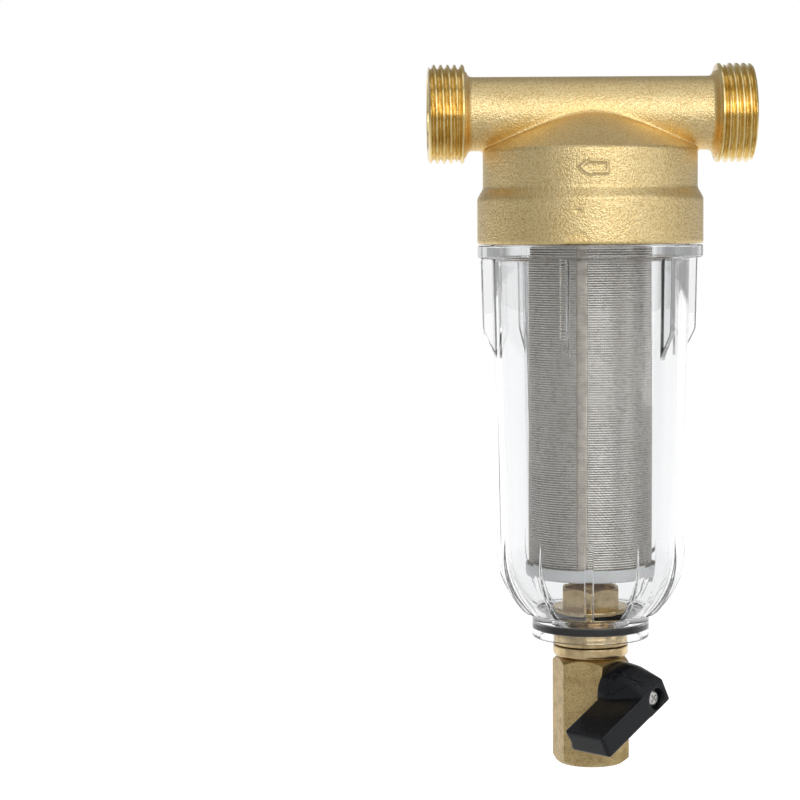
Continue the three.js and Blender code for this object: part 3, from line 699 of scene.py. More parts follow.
def arrow_ridge(block):
    """Height of the raised arrow outline over the front of the bell."""
    half, neck, head_half, shaft_half, rise = 4.8, -0.9, 2.9, 2.1, 0.65
    centre_x, centre_z = -2.2, (RIM_Z + STEP_TOP) / 2
    outline = [
        (-half, 0), (neck, head_half), (neck, shaft_half), (half, shaft_half),
        (half, -shaft_half), (neck, -shaft_half), (neck, -head_half),
    ]
    distance = outline_distance(outline, block.x - centre_x, block.z - centre_z)
    line = np.clip(1 - np.abs(distance + 0.3) / 0.7, 0, 1)
    return rise * line * line * (3 - 2 * line) * (block.y < FRONT_Y)


def gate_spot(block):
    """Shares, over the bell's front, of a round flat where the gate was ground off, and of a nick."""
    spot_r, spot_x, spot_z = 4.2, -7.4, BELL_BOTTOM + 0.2
    nick_r, nick_x, nick_z = 0.9, -7.2, -32.8
    spot = np.clip((spot_r - np.hypot(block.x - spot_x, block.z - spot_z)) / 0.4, 0, 1)
    nick = np.clip((nick_r - np.hypot((block.x - nick_x) * 0.6, (block.z - nick_z) * 1.3)) / 0.5, 0, 1)
    front = block.y < FRONT_Y
    return spot * front, nick * front


def rod(block, radius, start, end, sign=1):
    """A plain cylinder along X, towards the side given by sign."""
    return block.turned([(0, start), (radius, start), (radius, end), (0, end)], axis=0, sign=sign)


def head_inside(block):
    """Everything that is hollow: the space round the outlet chamber, both bores and the neck thread."""
    beyond = PORT_END + 15
    inner_r = BELL_UPPER_R - BELL_WALL
    drop = BELL_WALL / math.cos(math.atan(ROOF_SLOPE))
    thread_bore = NECK_ROOT_R + NECK_CLEARANCE
    relief = NECK_CREST_R + NECK_CLEARANCE
    mouth = BELL_BOTTOM + 1.8
    bell = block.turned([
        (0, BELL_BOTTOM - 4), (COUNTERBORE_R, BELL_BOTTOM - 4), (COUNTERBORE_R, mouth),
        (thread_bore, mouth), (thread_bore, NECK_TOP + 0.7), (relief, NECK_TOP + 0.7),
        (relief, NECK_TOP + 2.2), (inner_r, NECK_TOP + 4.6, 2), (inner_r, roof_z(inner_r) - drop, 3),
        (0, roof_z(0) - drop),
    ])
    azimuth = np.degrees(np.arctan2(block.x, -block.y))
    groove = neck_thread(azimuth, block.z, NECK_CLEARANCE)
    thread_end = NECK_TOP + 1.2
    middle, half = (BELL_BOTTOM + thread_end) / 2, (thread_end - BELL_BOTTOM) / 2
    past_wall = np.hypot(block.x, block.y) - thread_bore - groove
    bell = np.minimum(bell, np.maximum(past_wall, np.abs(block.z - middle) - half))
    outer_r = CHAMBER_R + CHAMBER_WALL
    chamber_wall = block.turned([
        (0, CHAMBER_BOTTOM), (outer_r, CHAMBER_BOTTOM, 0.8), (outer_r, 20), (0, 20),
    ])
    outlet_wall = rod(block, PIPE_R, 0, beyond, sign=-1)
    bell = np.maximum(bell, -smooth_union(chamber_wall, outlet_wall, 1.5))
    inlet = rod(block, PIPE_BORE_R, outer_r + 1.2, beyond)
    hole_x, hole_r, hole_middle, hole_half = outer_r + 8.8, 7.6, -12, 13
    inlet_drop = np.maximum(
        np.hypot(block.x - hole_x, block.y) - hole_r, np.abs(block.z - hole_middle) - hole_half,
    )
    chamber = block.turned([
        (0, CHAMBER_BOTTOM - 3), (CHAMBER_R, CHAMBER_BOTTOM - 3), (CHAMBER_R, CHAMBER_TOP, 3),
        (0, CHAMBER_TOP),
    ])
    outlet = rod(block, PIPE_BORE_R, 4 - CHAMBER_R, beyond, sign=-1)
    raw_water = np.minimum(np.minimum(bell, inlet), inlet_drop)
    return np.minimum(raw_water, np.minimum(chamber, outlet))


def head_body():
    block = Solid((-44.5, -40, -45), (44.5, 40, 14), 0.5)
    outside, painted_bounce_and_gate_tone = head_outside(block)
    spot, nick = gate_spot(block)
    outside = outside - arrow_ridge(block) + 0.12 * spot + 0.35 * nick
    # The ground gate spot's own darker tone joins the painted bounce-light mask.
    painted_bounce_and_gate_tone = np.maximum(painted_bounce_and_gate_tone, 0.45 * spot)
    field = np.maximum(outside, -head_inside(block))
    obj = block.mesh("head_cast_body", field)
    points = np.array([v.co for v in obj.data.vertices]) / MM
    # Stored per vertex for the cast brass: painted warm bounce light in creases, and the gate spot's own
    # tone.
    layer = obj.data.attributes.new("painted_bounce_and_gate_tone", "FLOAT", "POINT")
    layer.data.foreach_set("value", block.sample(painted_bounce_and_gate_tone, points).astype(np.float32))
    return obj


def port_end(name, side):
    """A machined port: shoulder, G1 thread with a chamfered end, end face and mouth, along X on one side."""
    segments = 144
    start = PORT_END - PORT_THREAD_LENGTH
    inner_r, thread_start = 10.6, start + 1.7
    root_width, crest_width = 2.1, 0.5
    before = rounded([
        (inner_r, start - 1.5), (14.0, start - 0.4), (PORT_CREST_R - 0.5, start - 0.3),
        (PORT_CREST_R, start + 0.1, 0.3), (PORT_CREST_R, start + 0.7, 0.25), (PORT_ROOT_R, start + 1.6, 0.2),
        (PORT_ROOT_R, start + 3),
    ])[:-1]
    after = rounded([
        (PORT_ROOT_R - 0.3, PORT_END), (MOUTH_R, PORT_END, 0.3), (MOUTH_R, PORT_END - MOUTH_DEPTH),
        (PIPE_BORE_R, PORT_END - MOUTH_DEPTH - 2.6), (PIPE_BORE_R + 0.1, PORT_END - MOUTH_DEPTH - 3.6),
        (inner_r, start - 1.5),
    ])[:-1]
    rows = [np.full((segments, 2), point) for point in before]
    for x in np.arange(thread_start, PORT_END - 0.15, PORT_PITCH / 14):
        phase = (x - thread_start + 0.5) / PORT_PITCH - side * np.arange(segments) / segments
        share = thread_height(phase, root_width / PORT_PITCH, crest_width / PORT_PITCH)
        run_in = np.clip((x - thread_start) / 0.6, 0, 1)
        radius = PORT_ROOT_R + (PORT_CREST_R - PORT_ROOT_R) * share * run_in
        chamfer = PORT_CREST_R - 0.95 + 0.8 * (PORT_END - x)
        rows.append(np.stack([np.minimum(radius, chamfer), np.full(segments, x)], -1))
    rows += [np.full((segments, 2), point) for point in after]
    return swept(name, np.array(rows), 40, ((0, 1, 0), (0, 0, 1), (side, 0, 0)))


# ---------- clear bowl ----------


def dome_arc(radius, from_z, to_z, steps):
    start = math.asin((DOME_CENTRE_Z - from_z) / radius)
    end = math.asin((DOME_CENTRE_Z - to_z) / radius)
    angles = np.linspace(start, end, steps + 1)
    return [(DOME_CENTRE_R + radius * math.cos(a), DOME_CENTRE_Z - radius * math.sin(a)) for a in angles]


def wall_radius(z):
    """Outside radius of the tapering wall between the flange and the dome."""
    share = (z - FLANGE_BOTTOM) / (DOME_CENTRE_Z - FLANGE_BOTTOM)
    return WALL_TOP_R + share * (DOME_CENTRE_R + DOME_R - WALL_TOP_R)


def bowl_profile():
    """The bowl's section as (radius, z) rows: down the outside, then up the inside."""
    dome_end = SKIRT_TOP + 0.5
    neck = rounded([
        (NECK_ROOT_R - 3, NECK_TOP), (NECK_ROOT_R, NECK_TOP, 0.7), (NECK_ROOT_R, NECK_TOP - 3),
    ])[1:-1]
    thread_rows = [(NECK_ROOT_R, z) for z in np.arange(NECK_TOP - 0.9, FLANGE_TOP + 0.3, -0.25)]
    flange = rounded([
        (NECK_ROOT_R, FLANGE_TOP + 1), (NECK_ROOT_R, FLANGE_TOP, 0.25), (FLANGE_R, FLANGE_TOP, 0.6),
        (FLANGE_R, FLANGE_BOTTOM, 0.9), (WALL_TOP_R, FLANGE_BOTTOM, 1.0), (wall_radius(-53), -53),
    ], 5)[1:-1]
    wall_z = np.concatenate([
        np.arange(-51, -70, -2.0), np.arange(-70, -83.5, -0.75), np.arange(-84, -140, -4.0),
        np.arange(-141, -147, -1.5),
    ])
    wall = [(wall_radius(z), z) for z in wall_z]
    dome = dome_arc(DOME_R, DOME_CENTRE_Z - 0.5, dome_end, 26)
    skirt = rounded([
        dome[-1], (SKIRT_R, SKIRT_TOP, 0.5), (SKIRT_R, SKIRT_BOTTOM, 0.8), (SKIRT_INNER_R, SKIRT_BOTTOM, 0.4),
        (SKIRT_INNER_R, FLOOR_BOTTOM, 0.5), (SPIGOT_R + 0.4, FLOOR_BOTTOM, 0.2),
        (SPIGOT_R + 0.4, FLOOR_TOP, 0.2), (SPIGOT_R + 3, FLOOR_TOP),
    ])[1:-1]
    inner_r = DOME_R - WALL
    floor_r = dome_arc(inner_r, FLOOR_TOP, FLOOR_TOP, 1)[0][0]
    floor = [(floor_r * share, FLOOR_TOP) for share in (0.75, 0.9)]
    inner_dome = dome_arc(inner_r, FLOOR_TOP + 0.05, DOME_CENTRE_Z, 24)
    inner_wall = [
        (wall_radius(z) - WALL, z) for z in (-140, -120, -100, -80, -65, -55, FLANGE_BOTTOM, -45)
    ]
    top = rounded([
        (WALL_TOP_R - WALL, -40), (WALL_TOP_R - WALL, NECK_TOP, 0.4), (NECK_ROOT_R - 1, NECK_TOP),
    ])[:-1]
    outside = neck + thread_rows + flange + wall + dome
    return [tuple(p) for p in outside], [tuple(p) for p in skirt + floor + inner_dome + inner_wall + top]


def rib_section(thickness, edge, fillet):
    """Across a rib: (offset from its middle, how high as a function of the rib's height)."""
    half = thickness / 2
    side = [
        (half + fillet, lambda h: 0.0 * h),
        (half + 0.35 * fillet, lambda h: 0.12 * np.minimum(fillet, h / 2)),
        (half + 0.08 * fillet, lambda h: 0.4 * np.minimum(fillet, h / 2)),
        (half, lambda h: np.minimum(fillet, h / 2)),
        (half, lambda h: np.maximum(h - edge, h / 2)),
        (half - 0.12 * edge, lambda h: h - 0.4 * np.minimum(edge, h / 2)),
        (half - 0.4 * edge, lambda h: h - 0.12 * np.minimum(edge, h / 2)),
        (half - edge, lambda h: h),
    ]
    return [(-offset, rise) for offset, rise in side] + [(offset, rise) for offset, rise in side[::-1]]


def smooth_corner(value, limit, soft):
    """min(value, limit) with its corner rounded over `soft`."""
    return 0.5 * (value + limit - np.sqrt((value - limit) ** 2 + soft ** 2))


def lug_height(r, z):
    """How far a lug stands out of the wall at height z: it ends in a slope below LUG_LOWER."""
    lean = 0.5
    down = np.clip((FLANGE_BOTTOM - z) / (FLANGE_BOTTOM - LUG_LOWER), 0, 1)
    straight = LUG_R - lean * down - r
    sloped = (z - LUG_END) / (LUG_LOWER - LUG_END) * (LUG_R - lean - wall_radius(LUG_LOWER))
    height = np.where(z > FLANGE_BOTTOM + 0.05, 0, smooth_corner(straight, sloped, 0.35))
    return np.maximum(height, 0)


def fin_height(z):
    """A fin grows from its point, keeps its height round the dome and fades at the skirt."""
    grows = (FIN_TOP - z) / (FIN_TOP - FIN_KNEE) * FIN_PROUD
    fades = (z - SKIRT_TOP - 0.3) / 1.6 * FIN_PROUD
    return np.clip(smooth_corner(smooth_corner(grows, FIN_PROUD, 0.1), fades, 0.2), 0, None)


def bowl_columns():
    """Columns round the bowl in order: (azimuth, offset across the rib, height function, kind)."""
    rib_half, spacing = 3.1, 2.6
    lugs = [(azimuth % 360, "lug", rib_section(2.3, 0.4, 0.35)) for azimuth in LUG_AZIMUTHS]
    fins = [(azimuth % 360, "fin", rib_section(2.8, 0.45, 0.3)) for azimuth in FIN_AZIMUTHS]
    ribs = sorted(lugs + fins, key=lambda rib: rib[0])
    columns = []
    for i, (azimuth, kind, section) in enumerate(ribs):
        columns += [(azimuth, offset, rise, kind) for offset, rise in section]
        following = ribs[(i + 1) % len(ribs)][0] + (360 if i + 1 == len(ribs) else 0)
        gap = following - azimuth - 2 * rib_half
        count = max(0, int(gap / spacing))
        for k in range(count):
            columns.append((azimuth + rib_half + gap * (k + 0.5) / count, 0.0, None, "plain"))
    return columns


def clear_bowl():
    """One skin, inside and out: columns of the profile, lifted over the thread, the lugs and the fins."""
    outside, inside = bowl_profile()
    rows = np.array(outside + inside)
    count = len(rows)
    r, z = rows[:, 0], rows[:, 1]
    tangent = np.roll(rows, -1, 0) - np.roll(rows, 1, 0)
    normal = np.stack([-tangent[:, 1], tangent[:, 0]], -1)
    normal /= np.linalg.norm(normal, axis=1, keepdims=True)
    is_outside = np.arange(count) < len(outside)
    wall_rows = is_outside & (z < FLANGE_BOTTOM + 0.05)
    under_flange = wall_rows & (z > FLANGE_BOTTOM - 2.1) & (r < LUG_R - 0.15)
    lug = np.where(wall_rows & (z > LUG_END - 2.9) & (r < LUG_R - 0.05), lug_height(r, z), 0)
    lug = np.where(under_flange, LUG_R - r, lug)
    fin = np.where(wall_rows & (z < FIN_TOP + 0.5), fin_height(z), 0)
    sink = np.where(under_flange, np.clip((LUG_R - 0.15 - r) / 4, 0, 1) * 0.9, 0)
    upper = np.clip((z - COLUMNS_MEET_LOW) / (COLUMNS_MEET_HIGH - COLUMNS_MEET_LOW), 0, 1)
    upper = upper * upper * (3 - 2 * upper)
    on_neck = is_outside & (z < NECK_TOP - 0.85) & (z > FLANGE_TOP + 0.2)
    fade = np.clip((NECK_TOP - 0.4 - z) / 1.2, 0, 1) * np.clip((z - FLANGE_TOP - 0.9) / 1.5, 0, 1)
    points = np.zeros((count, 0, 3))
    for azimuth, offset, rise, kind in bowl_columns():
        full = {"lug": lug, "fin": fin}.get(kind, np.zeros(count))
        height = rise(full) if rise else full
        spread = {"lug": 0.45 + 0.55 * upper, "fin": 1 - 0.55 * upper}.get(kind, np.ones(count))
        share = np.divide(height, full, out=np.zeros(count), where=full > 1e-6)
        out_r = r + height * np.where(kind == "lug", 1, normal[:, 0])
        out_z = z + height * np.where(kind == "lug", 0, normal[:, 1]) - sink * share
        across_azimuth = azimuth + math.degrees(offset / NECK_ROOT_R)
        out_r = out_r + np.where(on_neck, neck_thread(across_azimuth, z), 0) * fade
        lateral = offset * spread * np.where(is_outside, 1.0, np.minimum(r / NECK_ROOT_R, 1.0))
        radial = np.sqrt(np.maximum(out_r ** 2 - lateral ** 2, 0))
        ahead, across = facing(azimuth), facing(azimuth + 90)
        column = np.stack([
            radial * ahead.x + lateral * across.x, radial * ahead.y + lateral * across.y, out_z,
        ], -1)
        points = np.concatenate([points, column[:, None]], 1)
    obj = new_mesh("clear_bowl_shell", points.reshape(-1, 3), grid_faces(count, points.shape[1]))
    clean(obj, 0.0005)
    shade(obj, 50)
    return weighted(obj)


def bowl_seal():
    """Flat gasket on the bowl's flange, round the neck."""
    return ring("bowl_seal", NECK_CREST_R + 0.4, COUNTERBORE_R - 0.25, FLANGE_TOP + 0.25, FLANGE_TOP + 1.8)


# ---------- screen cartridge ----------


def woven_screen():
    """Weft wires run round and wave over and under upright warp wires; a flat seam joins the edges."""
    sides = 4
    rows = int((SCREEN_TOP - SCREEN_BOTTOM) / WEAVE_PITCH)
    angle = np.arange(WARP_COUNT)[:, None] * 2 * math.pi / WARP_COUNT
    section = np.arange(sides) * 2 * math.pi / sides
    wires = []
    for row in range(rows):
        z = SCREEN_BOTTOM + (row + 0.5) * WEAVE_PITCH
        wave = WEFT_WAVE * np.where((np.arange(WARP_COUNT) + row) % 2 == 0, 1, -1)
        ring_r = WEAVE_R + wave[:, None] + 0.27 * np.cos(section)
        ring_z = z + 0.34 * np.sin(section) + 0 * ring_r
        wires.append(np.stack([ring_r * np.cos(angle), ring_r * np.sin(angle), ring_z], -1).reshape(-1, 3))
    quads = np.array(grid_faces(WARP_COUNT, sides))
    faces = np.concatenate([quads + row * WARP_COUNT * sides for row in range(rows)])
    weft = new_mesh("weft", np.concatenate(wires), faces.tolist(), sharp=180)
    points, faces = [], []
    for k in range(WARP_COUNT):
        middle = (k + 0.5) * 2 * math.pi / WARP_COUNT
        for z in (SCREEN_BOTTOM, SCREEN_TOP):
            for corner in range(3):
                turn = corner * 2 * math.pi / 3
                radius = WEAVE_R + WARP_R * math.cos(turn)
                side = middle + WARP_R * math.sin(turn) / SCREEN_R
                points.append((radius * math.cos(side), radius * math.sin(side), z))
        first = 6 * k
        faces += [[first + i, first + (i + 1) % 3, first + 3 + (i + 1) % 3, first + 3 + i] for i in range(3)]
        faces += [[first + 2, first + 1, first], [first + 3, first + 4, first + 5]]
    return joined("screen_weave", [weft, new_mesh("warp", points, faces, sharp=180)])


def screen_seam():
    """The overlapped edge of the screen: a slightly raised strip, pressed to the weave's own pitch."""
    columns, steps, margin = 13, 4, 0.5
    rows = int((SCREEN_TOP - SCREEN_BOTTOM - 2 * margin) / WEAVE_PITCH) * steps
    half = math.degrees(SEAM_WIDTH / 2 / SCREEN_R)
    outer, inner = [], []
    for i in range(rows + 1):
        z = SCREEN_BOTTOM + margin + i * WEAVE_PITCH / steps
        rib = 0.07 * math.cos(2 * math.pi * ((z - SCREEN_BOTTOM) / WEAVE_PITCH - 0.5))
        for j in range(columns):
            share = 2 * j / (columns - 1) - 1
            edge = max(0.0, 1 - (1 - abs(share)) / 0.14)
            weave = 0.03 * math.cos(math.pi * (j + i // steps))
            radius = SCREEN_R + 0.10 + (rib + weave) * (1 - edge) - 0.22 * edge
            out = facing(SEAM_AZIMUTH + share * half)
            outer.append((out.x * radius, out.y * radius, z))
            inner.append((out.x * (SCREEN_R - 0.3), out.y * (SCREEN_R - 0.3), z))
    front = np.array(grid_faces(rows + 1, columns, False, False))
    back = front[:, ::-1] + len(outer)
    rim = list(range(columns)) + [(i + 1) * columns - 1 for i in range(1, rows + 1)]
    rim += list(range((rows + 1) * columns - 2, rows * columns - 1, -1))
    rim += [i * columns for i in range(rows - 1, 0, -1)]
    sides = [[a, b, b + len(outer), a + len(outer)] for a, b in zip(rim, rim[1:] + rim[:1])]
    obj = new_mesh("screen_seam", outer + inner, front.tolist() + back.tolist() + sides, sharp=60)
    return clean(obj)


def top_collar():
    """Moulded collar: a skirt over the screen's edge, a shelf, and a grooved plug for the outlet chamber."""
    skirt_inner, skirt_outer, skirt_end = SCREEN_R + 0.75, SCREEN_R + 1.85, COLLAR_SHELF - 4.6
    bore, plug_top = PLUG_R - 2.6, COLLAR_TOP + 16
    groove_r, groove_low, groove_high = PLUG_R - 1.4, COLLAR_TOP + 11.6, COLLAR_TOP + 13.8
    return turned("screen_collar", [
        (bore, COLLAR_SHELF, 0.3), (skirt_inner, COLLAR_SHELF, 0.2), (skirt_inner, skirt_end, 0.3),
        (skirt_outer, skirt_end, 0.3), (skirt_outer, COLLAR_TOP, 0.5), (PLUG_R, COLLAR_TOP, 0.6),
        (PLUG_R, groove_low, 0.2), (groove_r, groove_low, 0.2), (groove_r, groove_high, 0.2),
        (PLUG_R, groove_high, 0.2), (PLUG_R, plug_top, 0.8), (bore, plug_top, 0.3),
    ])


def collar_seal():
    """O-ring in the plug's groove."""
    return torus("collar_seal", PLUG_R - 0.52, 0.7, COLLAR_TOP + 12.7)


def bottom_cap():
    """Moulded cup that closes the screen, with ribs under its floor."""
    rim = SCREEN_R + 0.5
    return turned("screen_cap", [
        (0, CAP_BOTTOM), (7, CAP_BOTTOM, 0.4), (7.6, CAP_BOTTOM + 0.5, 0.3), (15, CAP_BOTTOM + 0.5, 0.3),
        (15.6, CAP_BOTTOM, 0.4), (CAP_R, CAP_BOTTOM, 1.0), (CAP_R, CAP_TOP, 0.3), (rim, CAP_TOP, 0.3),
        (rim, SCREEN_BOTTOM - 0.25, 0.2), (0, SCREEN_BOTTOM - 0.25),
    ])


# ---------- drain fitting ----------


def hex_piece(name, flats, azimuth, low, high, envelope, corner=0.6, edge=0.18):
    """A hexagon bar turned down by an envelope, with softened edges."""
    obj = prism(name, hexagon(flats, azimuth, corner), low, high)
    boolean(obj, [turned("envelope", envelope, 160, steps=3)], "INTERSECT")
    if edge > 0:
        soften(obj, edge)
    shade(obj, 32)
    return obj


def soften(obj, width, angle=30, segments=2):
    modifier = obj.modifiers.new("edges", "BEVEL")
    modifier.width = width * MM
    modifier.segments = segments
    modifier.limit_method = "ANGLE"
    modifier.angle_limit = math.radians(angle)
    modifier.harden_normals = False
    return bake_modifiers(obj)


def lock_nut():
    """Flanged brass nut inside the bowl, with chamfered corners and a countersunk bore."""
    flange_top = NUT_BOTTOM + 1.6
    bore_r, mouth_r = 8.6, 9.2
    body = hex_piece("nut_body", NUT_FLATS, NUT_FACE, NUT_BOTTOM + 0.4, NUT_TOP, [
        (0, NUT_BOTTOM), (NUT_FLANGE_R, NUT_BOTTOM), (NUT_FLANGE_R, NUT_TOP - 2.2),
        (NUT_FLATS / 2, NUT_TOP), (0, NUT_TOP),
    ])
    flange = turned("nut_flange", [
        (0, NUT_BOTTOM), (NUT_FLANGE_R, NUT_BOTTOM, 0.3), (NUT_FLANGE_R, flange_top, 0.5), (0, flange_top),
    ])
    bore = turned("nut_bore", [
        (0, NUT_BOTTOM - 2), (bore_r, NUT_BOTTOM - 2), (bore_r, NUT_TOP - 0.6), (mouth_r, NUT_TOP + 0.01),
        (mouth_r, NUT_TOP + 2), (0, NUT_TOP + 2),
    ])
    boolean(body, [flange], "UNION")
    boolean(body, [bore])
    shade(body, 32)
    body.name = "drain_nut"
    return weighted(body)


def threaded_tube(name, rows_before, thread, rows_after, segments=96):
    """A turned tube about Z with one helical stretch: thread is (root, crest, pitch, top, bottom)."""
    root, crest, pitch, top, bottom = thread
    columns = np.arange(segments) / segments
    rows = [np.full((segments, 2), point) for point in rounded(rows_before)[1:-1]]
    for z in np.arange(top, bottom, -pitch / 8):
        stands = thread_height((z - top) / pitch - columns, 0.95, 0.12) * (crest - root)
        ends = np.clip((top - z) / 0.8, 0, 1) * np.clip((z - bottom) / 0.8, 0, 1)
        rows.append(np.stack([root + stands * ends, np.full(segments, z)], -1))
    rows += [np.full((segments, 2), point) for point in rounded(rows_after)[1:-1]]
    return swept(name, np.array(rows), 40)


def drain_spigot():
    """Threaded tube through the bowl's floor, with the collar that clamps the neck gasket."""
    top = NUT_TOP - 2.7
    low = RING_TOP + 0.25
    pitch = 1.337
    return threaded_tube("drain_tube", [
        (SPIGOT_BORE_R, top - 4), (SPIGOT_BORE_R, top, 0.3), (SPIGOT_R - 0.6, top, 0.3),
        (SPIGOT_R - 0.9, top - 2),
    ], (SPIGOT_R - 0.8, SPIGOT_R, pitch, top - 0.8, COLLAR_Z + 0.6), [
        (SPIGOT_R, COLLAR_Z + 2), (SPIGOT_R, COLLAR_Z, 0.2), (DRAIN_COLLAR_R, COLLAR_Z, 0.35),
        (DRAIN_COLLAR_R, low, 0.35), (SPIGOT_R, low, 0.15), (SPIGOT_R, SPIGOT_BOTTOM, 0.4),
        (SPIGOT_BORE_R, SPIGOT_BOTTOM, 0.3), (SPIGOT_BORE_R, top - 4),
    ])


def nut_seal():
    """Thin washer between the nut and the bowl's floor."""
    return ring("nut_seal", SPIGOT_R + 0.4, NUT_FLANGE_R + 0.2, FLOOR_TOP + 0.25, WASHER_TOP, 0.15)


def neck_seal():
    """Thick washer inside the skirt, under the bowl's floor."""
    return ring("neck_seal", SPIGOT_R + 0.4, SKIRT_INNER_R + 0.03, GASKET_BOTTOM, GASKET_TOP, 0.4)


def lock_ring():
    """Ring between the spigot's collar and the valve."""
    return turned("valve_ring", [
        (SPIGOT_R + 0.3, RING_TOP, 0.3), (RING_R, RING_TOP, 0.45), (RING_R, RING_BOTTOM, 1.5),
        (SPIGOT_R + 0.3, RING_BOTTOM, 0.3),
    ], 160, steps=6)


# ---------- valve ----------

STEM = facing(STEM_AZIMUTH)
UP = Vector((0, 0, 1))
LEVER_LEVEL = STEM.cross(UP)
LEVER_ALONG = Matrix.Rotation(math.radians(LEVER_DROP), 3, STEM) @ LEVER_LEVEL
LEVER_ACROSS = LEVER_ALONG.cross(STEM)
VALVE_CENTRE = (0, 0, VALVE_Z)


def about_stem(obj):
    """From the lever's own axes (x across, y along the lever, z out along the stem) into the frame."""
    return placed(obj, LEVER_ACROSS, LEVER_ALONG, STEM, VALVE_CENTRE)


def valve_body():
    """Hexagon bar, turned at both ends and bored for the spigot, the ball and the stem."""
    half = VALVE_FLATS / 2
    corner = VALVE_FLATS / math.sqrt(3) + 0.1
    body = hex_piece("valve_hex", VALVE_FLATS, STEM_AZIMUTH, VALVE_BOTTOM, VALVE_TOP, [
        (0, VALVE_BOTTOM), (half - 0.6, VALVE_BOTTOM, 0.6), (corner, VALVE_BOTTOM + 2.0),
        (corner, VALVE_TOP - 2), (half + 0.2, VALVE_TOP - 0.6), (half - 0.6, VALVE_TOP, 0.3), (0, VALVE_TOP),
    ], corner=0.4, edge=0.0)
    boolean(body, [
        disc("top_bore", SPIGOT_R + 0.3, SPIGOT_BOTTOM - 0.25, VALVE_TOP + 2),
        disc("passage", BALL_BORE_R + 0.4, SPIGOT_BOTTOM - 4, VALVE_TOP),
        disc("ball_bore", BALL_SPACE_R, VALVE_BOTTOM - 2, SPIGOT_BOTTOM - 1.75),
        about_stem(disc("stem_bore", STEM_R + 0.3, 0, half + 2)),
        about_stem(disc("stem_pocket", 4.9, 0, 9.7)),
    ])
    soften(body, 0.22, 32)
    return weighted(shade(body, 32))


def valve_ball():
    """Ball with its bore, which is part open at rest, and a slot for the stem's tang."""
    turns = np.linspace(0, math.pi, 33)
    rows = [(BALL_R * math.sin(turn), VALVE_Z + BALL_R * math.cos(turn)) for turn in turns]
    ball = turned("ball", rows, 64, sharp=180)
    bore = placed(disc("ball_bore", BALL_BORE_R, -8, 8), STEM, LEVER_ACROSS, LEVER_ALONG, VALVE_CENTRE)
    slot = about_stem(prism("slot", rectangle(1.5, 7), 4.6, 8))
    return shade(boolean(ball, [bore, slot]), 40)


def ball_retainer():
    """Ring under the ball, with a hexagonal socket for the key."""
    top = VALVE_Z - 6.1
    plug = disc("retainer", BALL_SPACE_R - 0.3, top - 5, top, edge=0.3)
    socket = prism("socket", hexagon(10, STEM_AZIMUTH, 0.2), top - 7, top - 2.4)
    return shade(boolean(plug, [disc("retainer_bore", BALL_BORE_R, top - 7, top + 2), socket]), 32)


def valve_stem():
    """Stem with a groove for its seal, a tang in the ball's slot and two flats in the lever."""
    head_r, groove_r, top, flat_x, out = 4.6, 2.5, 25, 2.6, 6
    shaft = turned("stem_shaft", [
        (0, 7.7), (head_r, 7.7, 0.2), (head_r, 8.6, 0.2), (STEM_R, 8.6), (STEM_R, 10.0), (groove_r, 10.0),
        (groove_r, 11.4), (STEM_R, 11.4), (STEM_R, top, 0.3), (0, top),
    ], 64)
    boolean(shaft, [prism("tang", rectangle(1.3, 2.75), 4.9, 8)], "UNION")
    flats = [
        prism("flat", [(side * x, y) for x, y in corners], 13.2, top + 1)
        for side, corners in (
            (1, [(flat_x, -out), (out, -out), (out, out), (flat_x, out)]),
            (-1, [(flat_x, out), (out, out), (out, -out), (flat_x, -out)]),
        )
    ]
    boolean(shaft, flats + [disc("screw_hole", 1.8, 16.5, top + 1)])
    return about_stem(shade(shaft, 32))


# ---------- handle ----------


def raised_outline(body, corners):
    """Thin rods laid on the body's surface along a closed outline, as seen from the stem's axis."""
    mesh = body.data
    faces = [tuple(face.vertices) for face in mesh.polygons]
    surface = BVHTree.FromPolygons([vertex.co for vertex in mesh.vertices], faces)
    points = []
    for start, end in zip(corners, corners[1:] + corners[:1]):
        for share in np.arange(0, 1, 0.1):
            place = Vector(start).lerp(Vector(end), share)
            out = Vector((place.x, place.y, 0)).normalized()
            hit = surface.ray_cast((Vector((0, 0, place.z)) + 2 * HUB_R * out) * MM, -out)[0]
            points.append(hit / MM)
    axes = (Vector((1, 0, 0)), Vector((0, 1, 0)), Vector((0, 0, 1)))
    tips = [side * LINE_R * axis for axis in axes for side in (-1, 1)]
    pairs = zip(points, points[1:] + points[:1])
    return [hull("line", [point + tip for point in pair for tip in tips]) for pair in pairs]


